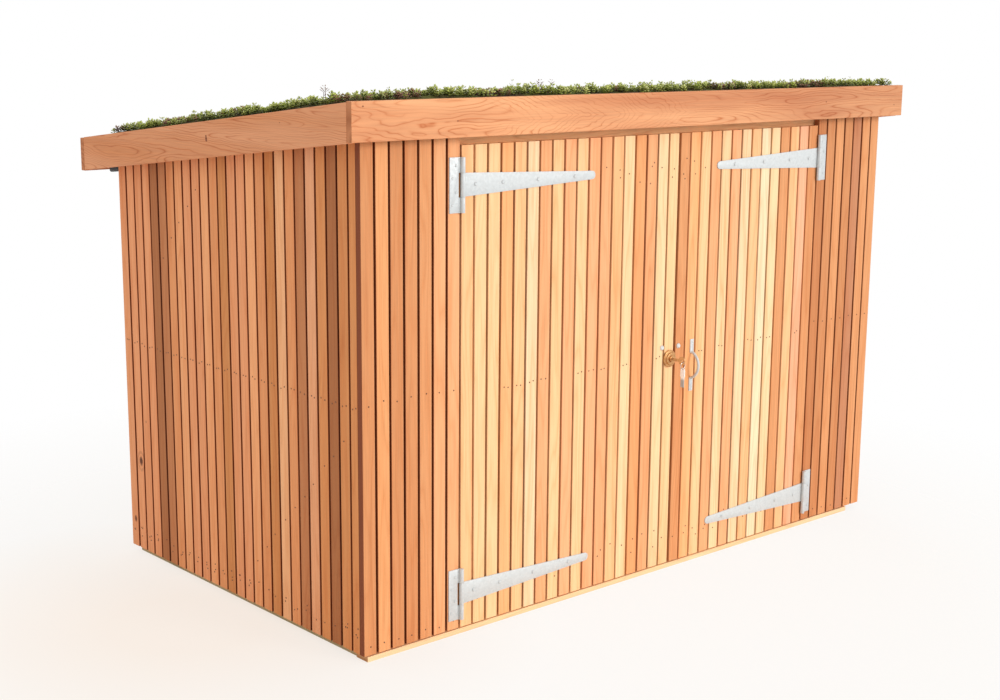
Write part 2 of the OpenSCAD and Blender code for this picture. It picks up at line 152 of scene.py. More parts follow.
class Tree:
    """A node tree in the making, with short calls that add a node and wire its inputs."""

    def __init__(self, tree: bpy.types.NodeTree) -> None:
        """Keeps the tree to build in."""
        self.tree = tree

    @staticmethod
    def port(sockets: bpy.types.bpy_prop_collection, name: str) -> Socket:
        """The first socket in use with that name, among a node's inputs or outputs."""
        return next(s for s in sockets if s.name == name and s.enabled)

    def add(self, kind: str, values: dict | None = None, **settings: object) -> bpy.types.Node:
        """Adds a node.

        Args:
            kind: The node's type.
            values: Input names, each with a value or a socket to join to it.
            **settings: The node's own options, set before its inputs.

        Returns:
            The new node.
        """
        node = self.tree.nodes.new(kind)
        for name, value in settings.items():
            setattr(node, name, value)
        for name, value in (values or {}).items():
            self.feed(self.port(node.inputs, name), value)
        return node

    def feed(self, socket: Socket, value: object) -> None:
        """Joins a socket to an input, or sets the input's own value.

        Args:
            socket: The input.
            value: A socket, a number, a vector or a colour.
        """
        if isinstance(value, Socket):
            self.tree.links.new(value, socket)
        else:
            socket.default_value = value

    def out(self, kind: str, name: str, values: dict | None = None, **settings: object) -> Socket:
        """Adds a node and gives its output of that name."""
        return self.port(self.add(kind, values, **settings).outputs, name)

    def math(self, operation: str, a: object, b: object = 0.0) -> Socket:
        """Adds a Math node and gives its result."""
        return self.reckoned("ShaderNodeMath", operation, a, b)

    def vector_math(self, operation: str, a: object, b: object) -> Socket:
        """Adds a Vector Math node and gives its vector, or its value where it has none."""
        return self.reckoned("ShaderNodeVectorMath", operation, a, b)

    def reckoned(self, kind: str, operation: str, a: object, b: object) -> Socket:
        """Adds a node that reckons with two values.

        Args:
            kind: The node's type.
            operation: The sum to do.
            a: The first value.
            b: The second value.

        Returns:
            The result.
        """
        node = self.add(kind, operation=operation)
        self.feed(node.inputs[0], a)
        self.feed(node.inputs[1], b)
        return next(s for s in node.outputs if s.enabled)

    def weighed(self, a: object, share: float, b: object, other_share: float = 1.0) -> Socket:
        """The sum of two values, each multiplied by its share."""
        return self.math("ADD", self.math("MULTIPLY", a, share), self.math("MULTIPLY", b, other_share))

    def mix(self, factor: object, a: object, b: object, blend: str = "MIX") -> Socket:
        """Mixes two colours.

        Args:
            factor: How much of the second colour there is.
            a: The first colour, as a socket, a colour or a hex colour.
            b: The second colour.
            blend: How they are mixed.

        Returns:
            The mixed colour.
        """
        a, b = (linear(colour) if isinstance(colour, str) else colour for colour in (a, b))
        inputs = {"Factor": factor, "A": a, "B": b}
        return self.out("ShaderNodeMix", "Result", inputs, data_type="RGBA", blend_type=blend)

    def fade(
        self, value: Socket, low: float, high: float, most: float, a: object, b: object, blend: str = "MIX"
    ) -> Socket:
        """Mixes two colours by a number: none of the second at low, and its most from high on."""
        return self.mix(self.remap(value, low, high, 0.0, most), a, b, blend)

    def shaded(self, colour: object, value: Socket) -> Socket:
        """Multiplies a colour by a number."""
        grey = self.out("ShaderNodeCombineColor", "Color", {"Red": value, "Green": value, "Blue": value})
        return self.mix(1.0, colour, grey, "MULTIPLY")

    def remap(self, value: object, low: float, high: float, to_low: float, to_high: float) -> Socket:
        """Maps a value's range to another range, and keeps the result inside it."""
        inputs = {"Value": value, "From Min": low, "From Max": high, "To Min": to_low, "To Max": to_high}
        return self.out("ShaderNodeMapRange", "Result", inputs)

    def fine_noise(self, vector: object, scale: float, detail: float = 2.0, rough: float = 0.5) -> Socket:
        """A noise's value between 0 and 1."""
        inputs = {"Vector": vector, "Scale": scale, "Detail": detail, "Roughness": rough}
        return self.out("ShaderNodeTexNoise", "Fac", inputs)

    def long_noise(
        self, vector: object, factors: Vector | Place, detail: float = 2.0, rough: float = 0.5
    ) -> Socket:
        """A noise that is drawn out, by a factor along each direction."""
        return self.fine_noise(self.stretched(vector, factors), 1.0, detail, rough)

    def stretched(self, vector: object, factors: Vector | Place) -> Socket:
        """A vector multiplied along each direction."""
        return self.vector_math("MULTIPLY", vector, tuple(factors))

    def joined(self, **parts: object) -> Socket:
        """A vector made of its X, Y and Z; a missing one is 0."""
        return self.out("ShaderNodeCombineXYZ", "Vector", parts)

    def height_of(self, vector: Socket) -> Socket:
        """A vector's Z."""
        return self.out("ShaderNodeSeparateXYZ", "Z", {"Vector": vector})


class Finish(Tree):
    """A finish in the making: a material, its shader and the place on the object in metres."""

    def __init__(self, name: str) -> None:
        """Starts a finish of that name, with nothing joined to its shader."""
        self.material = bpy.data.materials.new(name)
        self.material.use_nodes = True
        super().__init__(self.material.node_tree)
        self.shader = self.tree.nodes["Principled BSDF"]
        self.at = self.out("ShaderNodeTexCoord", "Object")

    def stored(self, name: str, kind: str = "Fac") -> Socket:
        """Reads a value that the mesh stores: a number, or a colour where the kind is Color."""
        return self.out("ShaderNodeAttribute", kind, attribute_name=name)

    def run(self, axis: Axis) -> Socket:
        """The distance along a direction."""
        return self.vector_math("DOT_PRODUCT", self.at, axis.value)

    def bump(self, height: Socket, strength: float, depth: float) -> Socket:
        """The normal of a relief from 0 to 1 high, with its depth in metres."""
        values = {"Strength": strength, "Distance": depth, "Height": height}
        return self.out("ShaderNodeBump", "Normal", values)

    def close(
        self, colour: Socket, rough: object, normal: Socket | None, **constants: float
    ) -> bpy.types.Material:
        """Joins the shader's inputs.

        Args:
            colour: The base colour.
            rough: The roughness.
            normal: The relief's normal.
            **constants: The shader's metallic and specular levels, where they are not its own.

        Returns:
            The material.
        """
        self.feed(self.shader.inputs["Base Color"], colour)
        self.feed(self.shader.inputs["Roughness"], rough)
        if normal:
            self.feed(self.shader.inputs["Normal"], normal)
        names = {"metallic": "Metallic", "specular": "Specular IOR Level"}
        for name, value in constants.items():
            self.shader.inputs[names[name]].default_value = value
        return self.material


# Finishes ------------------------------------------------------------------------------------------


@dataclass(frozen=True)
class Grain:
    """Cedar grain: long growth lines that open into arches, and fine streaks between them."""

    axis: Axis
    line_width: float = 0.0042
    arch_length: float = 0.55
    arch_width: float = 0.042
    streak_width: float = 0.0022
    sharpness: float = 2.2

    def along(self, across: float, length: float) -> Vector:
        """Factors for a place, so that a noise has that size across and along the grain."""
        run = Vector(self.axis.value)
        return (Vector((1, 1, 1)) - run) / across + run / length

    def lines(self, tree: Tree, place: Socket) -> Socket:
        """Growth lines, 1 on a line and 0 between them.

        Args:
            tree: The finish's tree.
            place: The place on the board.

        Returns:
            The lines' strength.
        """
        field = tree.long_noise(place, self.along(self.arch_width, self.arch_length), 1.0, 0.4)
        turns = tree.math("MULTIPLY", field, self.arch_width / self.line_width * 1.5)
        return tree.math("POWER", tree.math("PINGPONG", turns, 1.0), self.sharpness)

    def streaks(self, tree: Tree, place: Socket) -> Socket:
        """Fine streaks along the grain, from 0 to 1."""
        return tree.long_noise(place, self.along(self.streak_width, 0.12), 2.0, 0.6)


@dataclass(frozen=True)
class Knot:
    """A knot in a board: its place, its size, how dark it is, and how dark the ring around it is."""

    place: Place
    radius: float
    depth: float = 0.75
    ring: float = 0.0

    def shade(self, tree: Tree, place: Socket, axis: Axis) -> Socket:
        """How dark the wood is here because of the knot, from 0 to 1.

        Args:
            tree: The finish's tree.
            place: The place on the board.
            axis: The grain's direction, along which the knot is longer.

        Returns:
            The darkening.
        """
        squeeze = Vector((1, 1, 1)) - Vector(axis.value) * 0.3
        offset = tree.stretched(tree.vector_math("SUBTRACT", place, self.place), squeeze)
        away = tree.vector_math("LENGTH", offset, (0, 0, 0))
        away = tree.weighed(tree.fine_noise(place, 220.0, 1.0), self.radius * 0.7, away)
        core = tree.remap(away, self.radius * 0.9, self.radius * 1.5, self.depth, 0.0)
        if self.ring == 0.0:
            return core
        band = tree.math("ABSOLUTE", tree.math("SUBTRACT", away, self.radius * 2.1))
        halo = tree.remap(band, self.radius * 0.15, self.radius * 0.45, self.ring, 0.0)
        return tree.math("MAXIMUM", core, halo)


@dataclass(frozen=True)
class BoardCedar:
    """Planed cedar whose colour comes from each board's own tones."""

    name: str
    knots: tuple[Knot, ...] = ()
    knot_colour: str = "#5A2A12"
    line_tint: Colour = (0.80, 0.60, 0.42, 1)
    fleck_tint: Colour = (0.72, 0.52, 0.38, 1)
    # Painted shade: the boards' side faces and arrises are darkened towards this tint, as the shade between
    # boards.
    edge_tint: Colour = (0.25, 0.085, 0.02, 1)
    edge_start: float = 0.935
    edge_full: float = 0.98

    def make(self) -> bpy.types.Material:
        """Makes the finish; it reads the boards' tone, heart and grain, and paints shade on their side faces.
        """
        tree = Finish(self.name)
        grain = Grain(Axis.Z)
        own = tree.stored("grain")
        shift = tree.stretched(tree.joined(X=own, Y=own, Z=own), (5.3, 7.9, 11.7))
        place = tree.vector_math("ADD", tree.at, shift)
        drift = tree.long_noise(place, grain.along(0.035, 0.9), 2.0, 0.55)
        base = tree.fade(drift, 0.42, 0.68, 0.85, tree.stored("tone", "Color"), tree.stored("heart", "Color"))
        lines = grain.lines(tree, place)
        streaks = grain.streaks(tree, place)
        strength = tree.remap(drift, 0.3, 0.7, 0.22, 0.5)
        colour = tree.mix(tree.math("MULTIPLY", lines, strength), base, self.line_tint, "MULTIPLY")
        colour = tree.shaded(colour, tree.remap(streaks, 0.32, 0.7, 0.90, 1.06))
        flecks = tree.long_noise(place, grain.along(0.0011, 0.02), 1.0)
        colour = tree.fade(flecks, 0.62, 0.78, 0.22, colour, self.fleck_tint, "MULTIPLY")
        for knot in self.knots:
            colour = tree.mix(knot.shade(tree, tree.at, Axis.Z), colour, self.knot_colour)
        # Painted shade on the side faces and arrises, scaled by each board's stored share of it.
        across = tree.math("ABSOLUTE", tree.stored("across"))
        edge = tree.remap(across, self.edge_start, self.edge_full, 0.0, 1.0)
        painted_gap_shade = tree.math("MULTIPLY", edge, tree.stored("gap"))
        colour = tree.mix(painted_gap_shade, colour, self.edge_tint, "MULTIPLY")
        relief = tree.weighed(lines, -0.5, streaks)
        rough = tree.remap(streaks, 0.2, 0.8, 0.62, 0.78)
        return tree.close(colour, rough, tree.bump(relief, 0.35, 0.0006), specular=0.3)


@dataclass(frozen=True)
class PlankCedar:
    """Planed cedar for a single board, with broad arched grain and darker end grain."""

    name: str
    light: str
    dark: str
    axis: Axis
    knots: tuple[Knot, ...] = ()
    arch_width: float = 0.07
    arch_length: float = 0.85
    line_width: float = 0.0027
    contrast: float = 0.9
    end_grain: str = ""
    far_shade: float = 1.0
    flame_height: float = 0.0
    flame_middle: float = -0.22
    flame_half: float = 0.36
    flame_step: float = 0.030
    knot_colour: str = "#6B2F14"
    line_tint: Colour = (0.68, 0.42, 0.26, 1)
    far_tint: Colour = (0.10, 0.06, 0.05, 1)

    def flames(self, tree: Tree, at: Socket, bent: Socket) -> tuple[Socket, Socket]:
        """Pointed growth lines along the middle of a board, in patches.

        Args:
            tree: The finish's tree.
            at: The place on the board.
            bent: The same place, rippled.

        Returns:
            The lines' strength, and how much of the board's face they take.
        """
        sway = tree.long_noise(at, (3.1, 0.0, 0.0), 1.0)
        middle = tree.math("ADD", tree.math("MULTIPLY", sway, 0.05), self.flame_height - 0.025)
        aside = tree.math("ABSOLUTE", tree.math("SUBTRACT", tree.height_of(bent), middle))
        run = tree.weighed(aside, 2.4, tree.vector_math("DOT_PRODUCT", bent, self.axis.value))
        wander = tree.weighed(tree.long_noise(at, (9.0, 9.0, 16.0), 3.0), 0.16, run)
        turns = tree.math("DIVIDE", wander, self.flame_step / 2)
        wave = tree.math("POWER", tree.math("PINGPONG", turns, 1.0), 7.0)
        away = tree.math("ABSOLUTE", tree.math("SUBTRACT", run, self.flame_middle))
        return wave, tree.remap(away, self.flame_half * 0.7, self.flame_half, 1.0, 0.0)

    def make(self) -> bpy.types.Material:
        """Makes the finish."""
        tree = Finish(self.name)
        at = tree.at
        grain = Grain(self.axis, self.line_width, self.arch_length, self.arch_width, sharpness=5.0)
        rippled = {"Vector": tree.stretched(at, grain.along(0.03, 0.12)), "Scale": 1.0}
        ripple = tree.stretched(tree.out("ShaderNodeTexNoise", "Color", rippled), (0.016, 0.016, 0.016))
        bent = tree.vector_math("ADD", at, ripple)
        drift = tree.long_noise(at, grain.along(0.07, 0.8))
        base = tree.fade(drift, 0.35, 0.7, 1.0, self.light, self.dark)
        if self.far_shade < 1.0:
            most = 1.0 - self.far_shade
            base = tree.fade(tree.run(self.axis), -0.4, 0.9, most, base, self.far_tint)
        lines = grain.lines(tree, bent)
        if self.flame_height:
            wave, share = self.flames(tree, at, bent)
            plain = tree.math("MULTIPLY", lines, tree.math("SUBTRACT", 1.0, share))
            lines = tree.math("ADD", plain, tree.math("MULTIPLY", wave, share))
        patches = tree.long_noise(at, grain.along(0.05, 0.25))
        faded = tree.math("MULTIPLY", lines, tree.remap(patches, 0.34, 0.56, 0.25, self.contrast))
        streaks = grain.streaks(tree, at)
        colour = tree.mix(faded, base, self.line_tint, "MULTIPLY")
        colour = tree.shaded(colour, tree.remap(streaks, 0.3, 0.7, 0.90, 1.05))
        for knot in self.knots:
            colour = tree.mix(knot.shade(tree, at, self.axis), colour, self.knot_colour)
        if self.end_grain:
            normal = tree.out("ShaderNodeNewGeometry", "Normal")
            facing = tree.math("ABSOLUTE", tree.vector_math("DOT_PRODUCT", normal, self.axis.value))
            rings = tree.math("PINGPONG", tree.math("MULTIPLY", tree.fine_noise(at, 9.0, 0.0), 26.0), 1.0)
            cut = tree.mix(rings, self.end_grain, scaled(linear(self.end_grain), 0.7, 0.6, 0.5))
            colour = tree.fade(facing, 0.6, 0.8, 1.0, colour, cut)
        relief = tree.weighed(lines, -0.5, streaks)
        rough = tree.remap(streaks, 0.2, 0.8, 0.58, 0.75)
        return tree.close(colour, rough, tree.bump(relief, 0.35, 0.0007), specular=0.3)


@dataclass(frozen=True)
class SawnTimber:
    """Rough sawn timber with saw marks across it and a little dirt."""

    name: str
    light: str
    dark: str
    axis: Axis
    saw_pitch: float = 0.0045
    level: Axis = Axis.X
    rails: tuple[tuple[float, float, float, float], ...] = ()
    line_tint: Colour = (0.7, 0.52, 0.38, 1)
    dirt_tint: Colour = (0.55, 0.48, 0.4, 1)

    def along_member(self, tree: Tree, at: Socket) -> Socket:
        """The place on the timber, turned upright where a level rail runs, so that its grain follows it.

        Args:
            tree: The finish's tree.
            at: The place on the frame.

        Returns:
            The place to draw the grain at.
        """
        parts = tree.add("ShaderNodeSeparateXYZ", {"Vector": at}).outputs
        run, height = parts[self.level.name], parts["Z"]
        inside: object = 0.0
        for start, stop, low, high in self.rails:
            ends = tree.math("MINIMUM", tree.math("SUBTRACT", run, start), tree.math("SUBTRACT", stop, run))
            above, below = tree.math("SUBTRACT", height, low), tree.math("SUBTRACT", high, height)
            edges = tree.math("MINIMUM", above, below)
            within = tree.math("GREATER_THAN", tree.math("MINIMUM", ends, edges), 0.0)
            inside = tree.math("MAXIMUM", inside, within)
        other = "Y" if self.level is Axis.X else "X"
        return tree.mix(inside, at, tree.joined(**{self.level.name: height, other: parts[other], "Z": run}))

    def make(self) -> bpy.types.Material:
        """Makes the finish."""
        tree = Finish(self.name)
        grain = Grain(self.axis, 0.006, 0.7, 0.06, 0.003)
        if self.rails:
            tree.at = self.along_member(tree, tree.at)
        at = tree.at
        drift = tree.long_noise(at, grain.along(0.09, 0.5), 3.0)
        base = tree.fade(drift, 0.35, 0.68, 1.0, self.light, self.dark)
        streaks = grain.streaks(tree, at)
        lines = tree.math("MULTIPLY", grain.lines(tree, at), 0.4)
        colour = tree.mix(lines, base, self.line_tint, "MULTIPLY")
        colour = tree.shaded(colour, tree.remap(streaks, 0.3, 0.7, 0.86, 1.06))
        dirt = tree.fine_noise(at, 14.0, 4.0, 0.6)
        colour = tree.fade(dirt, 0.55, 0.75, 0.3, colour, self.dirt_tint, "MULTIPLY")
        turns = tree.math("MULTIPLY", tree.run(self.axis), math.tau / self.saw_pitch)
        relief = tree.weighed(tree.math("SINE", turns), 0.12, streaks, 1.3)
        rough = tree.remap(streaks, 0.2, 0.8, 0.75, 0.92)
        return tree.close(colour, rough, tree.bump(relief, 0.45, 0.0009), specular=0.2)


@dataclass(frozen=True)
class Metal:
    """A metal with blotches, fine scratches and a worn, uneven polish."""

    name: str
    light: str
    dark: str
    blotch: float
    metallic: float
    rough_low: float
    rough_high: float
    crystals: bool = False
    scratch: float = 0.1

    def make(self) -> bpy.types.Material:
        """Makes the finish."""
        tree = Finish(self.name)
        at = tree.at
        cloud = tree.fine_noise(at, 1.0 / self.blotch, 4.0, 0.6)
        tint = cloud
        if self.crystals:
            ruffle = tree.out("ShaderNodeTexNoise", "Color", {"Vector": at, "Scale": 160.0})
            warped = tree.vector_math("ADD", at, tree.stretched(ruffle, (0.004, 0.004, 0.004)))
            cell = tree.out("ShaderNodeTexVoronoi", "Color", {"Vector": warped, "Scale": 1.0 / self.blotch})
            flake = tree.out("ShaderNodeSeparateColor", "Red", {"Color": cell})
            tint = tree.weighed(flake, 0.35, cloud, 0.65)
        colour = tree.fade(tint, 0.25, 0.75, 1.0, self.light, self.dark)
        scratches = tree.long_noise(at, (1 / 0.0012, 1 / 0.0012, 1 / 0.014))
        colour = tree.fade(scratches, 0.6, 0.75, self.scratch, colour, self.dark)
        rough = tree.remap(tint, 0.25, 0.75, self.rough_low, self.rough_high)
        relief = tree.weighed(tint, 0.6, scratches, 0.4)
        return tree.close(colour, rough, tree.bump(relief, 0.25, 0.0003), metallic=self.metallic)


@dataclass(frozen=True)
class KeySteel:
    """A hanging key's finish: a bright head, and a blade rubbed grey."""

    split: float
    name: str = "key_steel"
    head: str = "#FFFFFF"
    blade: str = "#AEB2B4"
    worn: str = "#8E8F8F"

    def make(self) -> bpy.types.Material:
        """Makes the finish."""
        tree = Finish(self.name)
        wear = tree.long_noise(tree.at, (1 / 0.002, 1 / 0.002, 1 / 0.006), 3.0)
        edge = tree.weighed(wear, 0.008, tree.height_of(tree.at))
        colour = tree.fade(edge, self.split, self.split + 0.008, 1.0, self.blade, self.head)
        colour = tree.fade(wear, 0.55, 0.75, 0.35, colour, self.worn)
        rough = tree.remap(wear, 0.3, 0.7, 0.35, 0.5)
        return tree.close(colour, rough, tree.bump(wear, 0.25, 0.0002), metallic=0.0)


@dataclass(frozen=True)
class Rubber:
    """Matt black roofing sheet with dust and shallow creases."""

    name: str = "roof_rubber"
    sheet: str = "#1B1B1B"
    dusty: str = "#3A3835"

    def make(self) -> bpy.types.Material:
        """Makes the finish."""
        tree = Finish(self.name)
        dust = tree.fine_noise(tree.at, 22.0, 4.0, 0.65)
        crease = tree.long_noise(tree.at, (3.0, 16.0, 16.0))
        colour = tree.fade(dust, 0.5, 0.8, 0.6, self.sheet, self.dusty)
        rough = tree.remap(dust, 0.3, 0.7, 0.38, 0.6)
        return tree.close(colour, rough, tree.bump(tree.weighed(crease, 0.8, dust, 0.2), 0.4, 0.002))


@dataclass(frozen=True)
class Compost:
    """Dark crumbly growing layer with bits of grit and moss."""

    name: str
    light: str
    dark: str
    moss: str

    def make(self) -> bpy.types.Material:
        """Makes the finish."""
        tree = Finish(self.name)
        crumbs = tree.fine_noise(tree.at, 160.0, 4.0, 0.7)
        patch = tree.fine_noise(tree.at, 14.0, 3.0)
        colour = tree.fade(crumbs, 0.35, 0.7, 1.0, self.dark, self.light)
        colour = tree.fade(patch, 0.45, 0.6, 0.85, colour, self.moss)
        rough = tree.remap(crumbs, 0.3, 0.7, 0.8, 0.95)
        return tree.close(colour, rough, tree.bump(crumbs, 0.9, 0.004), specular=0.2)


@dataclass(frozen=True)
class Leaf:
    """Fleshy leaves: each sprig has its own tint and paler tips, and painted shade darkens its lower leaves
    and tints them brown.
    """

    name: str
    dark: str
    light: str
    tip: str
    # The brown of the painted shade at each sprig's base.
    foot: str = "#5C4026"

    def make(self) -> bpy.types.Material:
        """Makes the finish; it reads the sprigs' tint and each leaf's rise."""
        tree = Finish(self.name)
        rise = tree.stored("rise")
        mottle = tree.fine_noise(tree.at, 260.0, 2.0)
        colour = tree.mix(tree.stored("tint"), self.dark, self.light)
        colour = tree.fade(rise, 0.55, 1.0, 0.7, colour, self.tip)
        # Painted shade: lower leaves are browned, then darkened, as the shade deep among the sprigs.
        colour = tree.mix(tree.remap(rise, 0.0, 0.5, 0.75, 0.0), colour, self.foot)
        lit = tree.remap(rise, 0.0, 0.5, 0.62, 1.0)
        colour = tree.shaded(colour, tree.math("MULTIPLY", lit, tree.remap(mottle, 0.3, 0.7, 0.88, 1.1)))
        rough = tree.remap(mottle, 0.3, 0.7, 0.42, 0.6)
        return tree.close(colour, rough, tree.bump(mottle, 0.3, 0.001), specular=0.4)


@dataclass(frozen=True)
class StudioFloor:
    """A pale floor that keeps the shadow, has a painted warm shade and reflection of the wood by the left
    wall, and fades into the white far from the object.
    """

    name: str = "studio_floor"
    colour: str = "#FBF8F4"
    light: str = "#FFFEFC"
    # Colour of the painted warm shade and reflection of the wood on the floor by the left wall.
    warm: str = "#FCF2E8"
    glow: float = 0.82
    middle: Place = (-0.4, -0.3, 0.0)
    fade_start: float = 1.3
    fade_end: float = 2.6
    warm_middle: Place = (-1.2, -0.05, 0.0)
    warm_reach: float = 0.95
    warm_core: float = 0.2
    rough: float = 0.9
    specular: float = 0.1

    @staticmethod
    def blend(tree: Tree, share: Socket, a: Socket, b: Socket) -> Socket:
        """Mixes two shaders."""
        node = tree.add("ShaderNodeMixShader", {"Fac": share})
        tree.feed(node.inputs[1], a)
        tree.feed(node.inputs[2], b)
        return node.outputs[0]

    def make(self) -> bpy.types.Material:
        """Makes the finish."""
        tree = Finish(self.name)
        duller = scaled(linear(self.colour), 0.99, 0.985, 0.98)
        tone = tree.mix(tree.fine_noise(tree.at, 3.0), self.colour, duller)
        material = tree.close(tone, self.rough, None, specular=self.specular)
        seen = tree.out("ShaderNodeLightPath", "Is Camera Ray")
        # Painted warm shade and reflection of the wood, strongest around its middle and gone past its reach.
        far = tree.vector_math("DISTANCE", tree.at, self.warm_middle)
        painted_wood_bounce_share = tree.remap(far, self.warm_reach, self.warm_core, 0.0, 1.0)
        glow = tree.mix(painted_wood_bounce_share, self.light, self.warm)
        light = tree.out("ShaderNodeEmission", "Emission", {"Color": glow, "Strength": 1.0})
        lit = self.blend(tree, tree.math("MULTIPLY", seen, self.glow), tree.shader.outputs["BSDF"], light)
        away = tree.vector_math("DISTANCE", tree.at, self.middle)
        share = tree.remap(away, self.fade_start, self.fade_end, 0.0, 1.0)
        both = self.blend(tree, share, lit, tree.out("ShaderNodeBsdfTransparent", "BSDF"))
        ending = next(n for n in tree.tree.nodes if n.type == "OUTPUT_MATERIAL")
        tree.feed(ending.inputs["Surface"], both)
        return material


class Palette:
    """All the finishes, made once."""

    def __init__(self) -> None:
        """Makes every finish."""
        wall_knots = (
            Knot((-1.009, 0.505, 0.288), 0.0105, 0.95, 0.25),
            Knot((-1.009, 0.550, 0.103), 0.0075, 0.85),
            Knot((-1.009, 0.468, 0.413), 0.003, 0.6),
        )
        front_knots = (
            Knot((-1.031, -0.617, 1.3595), 0.0024),
            Knot((-0.751, -0.617, 1.318), 0.0020),
            Knot((0.677, -0.617, 1.3285), 0.0022),
            Knot((1.0215, -0.617, 1.312), 0.0020),
        )
        side_knots = (
            Knot((-1.064, 0.0035, 1.2490), 0.0034, 0.85),
            Knot((-1.064, 0.0040, 1.2545), 0.0036, 0.90),
            Knot((-1.064, 0.0045, 1.2600), 0.0030, 0.80),
            Knot((-1.064, -0.33, 1.31), 0.0018, 0.5),
        )
        self.boards = BoardCedar("cedar_boards", wall_knots).make()
        self.fascia_long = PlankCedar(
            "cedar_fascia_long", "#EFAB79", "#CB7F54", Axis.X, front_knots, line_width=0.0019,
            end_grain="#C98255", far_shade=0.85, flame_height=1.327,
        ).make()
        self.fascia_side = PlankCedar(
            "cedar_fascia_side", "#E7A072", "#DA8E5C", Axis.Y, side_knots, line_width=0.0022
        ).make()
        self.threshold = PlankCedar(
            "cedar_threshold", "#FFDDB0", "#F9CC98", Axis.X, (), 0.05, 0.9, 0.003, 0.25, "#D9A878"
        ).make()
        self.header = PlankCedar(
            "cedar_header", "#FFCE98", "#FFBC80", Axis.X, (), 0.06, 1.0, 0.003, 0.45, "#C98255"
        ).make()
        self.sawn_upright = SawnTimber("cedar_sawn_upright", *SAWN_CEDAR, Axis.Z).make()
        self.sawn_depth = SawnTimber("cedar_sawn_depth", "#DDB083", "#C48C5E", Axis.Y).make()
        self.treated = SawnTimber("treated_timber", "#D6C59A", "#B5A67A", Axis.Y).make()
        self.sheet_timber = SawnTimber("floor_timber", "#DDBD92", "#C79F70", Axis.X, 0.02).make()
        self.galvanised = Metal(
            "galvanised_steel", "#D2D6D6", "#C7CBCB", 0.006, 0.25, 0.48, 0.6, True, 0.08
        ).make()
        self.bolt = Metal("plated_bolts", "#EDEEEB", "#D5D6D3", 0.004, 0.7, 0.32, 0.5, False, 0.15).make()
        self.nail = Metal("nail_heads", "#8A5E42", "#5E3E2A", 0.003, 0.3, 0.45, 0.6, False, 0.2).make()
        self.dark_steel = Metal("dark_steel", "#4A4845", "#302F2D", 0.01, 0.6, 0.4, 0.55, False, 0.3).make()
        self.key_brass = Metal("key_brass", "#ECC492", "#C4925E", 0.005, 0.4, 0.34, 0.5, False, 0.25).make()
        self.bright_steel = Metal(
            "bright_steel", "#D9D8D4", "#A9A7A2", 0.006, 0.9, 0.22, 0.4, False, 0.2
        ).make()
        self.brass = Metal("brass", "#E6B67C", "#AE774A", 0.007, 0.9, 0.28, 0.48, False, 0.25).make()
        self.rubber = Rubber().make()
        self.soil = Compost("soil", "#4A3A28", "#241A10", "#3A3A1C").make()
        self.mat = Compost("plant_mat", "#54452A", "#2C2212", "#5A5C2C").make()
        self.leaf_green = Leaf("plants_green", "#434C16", "#9FB23C", "#E0E784").make()
        self.leaf_lime = Leaf("plants_lime", "#747E2C", "#C2CF58", "#F0F2AC").make()
        self.leaf_red = Leaf("plants_red", "#52301F", "#8C6046", "#BC9674").make()


# Meshes --------------------------------------------------------------------------------------------


def place_piece(piece: bpy.types.Object, body: str, slot: str, *nodes: str) -> bpy.types.Object:
    """Makes a finished piece ride on a body, and hides the CAD nodes it stands for.

    Args:
        piece: The finished piece.
        body: The body that carries it.
        slot: The record's material slot; it is not used.
        *nodes: CAD nodes that it stands for.

    Returns:
        The piece.
    """
    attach(piece, body)
    if nodes:
        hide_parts(*nodes)
    LOG.info("%s: %d faces on %s", piece.name, len(piece.data.polygons), body)
    return piece


def plain_mesh(piece: bpy.types.Object) -> bpy.types.Object:
    """Turns a piece's modifiers into a plain mesh.

    Args:
        piece: A piece with modifiers.

    Returns:
        The same piece, with no modifier left.
    """
    bpy.context.view_layer.update()
    shown = piece.evaluated_get(bpy.context.evaluated_depsgraph_get())
    mesh = bpy.data.meshes.new_from_object(shown)
    piece.modifiers.clear()
    piece.data = mesh
    return piece


def new_object(name: str, mesh: bpy.types.Mesh) -> bpy.types.Object:
    """Links a new object with that mesh to the scene, at the origin."""
    piece = bpy.data.objects.new(name, mesh)
    bpy.context.scene.collection.objects.link(piece)
    return piece


@dataclass(frozen=True)
class Eased:
    """A copy of a CAD node with its hard edges eased, which stands for the node."""

    node: str
    name: str
    body: str
    slot: str
    ease: float
    segments: int = 2
    smooth: bool = False

    def build(self, material: bpy.types.Material) -> bpy.types.Object:
        """Builds the copy as a plain mesh of that finish, and places it."""
        build = bmesh.new()
        build.from_mesh(frame["nodes"][self.node].data)
        bmesh.ops.remove_doubles(build, verts=build.verts, dist=SAME_PLACE)
        bmesh.ops.dissolve_limit(build, angle_limit=FLAT, verts=build.verts, edges=build.edges)
        mesh = bpy.data.meshes.new(self.name)
        build.to_mesh(mesh)
        build.free()
        mesh.materials.clear()
        mesh.materials.append(material)
        piece = new_object(self.name, mesh)
        bevel = piece.modifiers.new("eased_edges", "BEVEL")
        bevel.width = self.ease
        bevel.segments = self.segments
        bevel.limit_method = "ANGLE"
        bevel.angle_limit = HARD_EDGE
        bevel.harden_normals = False
        plain_mesh(piece)
        if self.smooth:
            piece.data.shade_smooth()
            piece.data.set_sharp_from_angle(angle=ROUND_EDGE)
        return place_piece(piece, self.body, self.slot, self.node)


def dress(node: str, material: bpy.types.Material) -> None:
    """Gives a CAD node a finish."""
    shown = frame["nodes"][node]
    for slot in shown.material_slots:
        slot.material = material
    if not shown.material_slots:
        shown.data.materials.append(material)


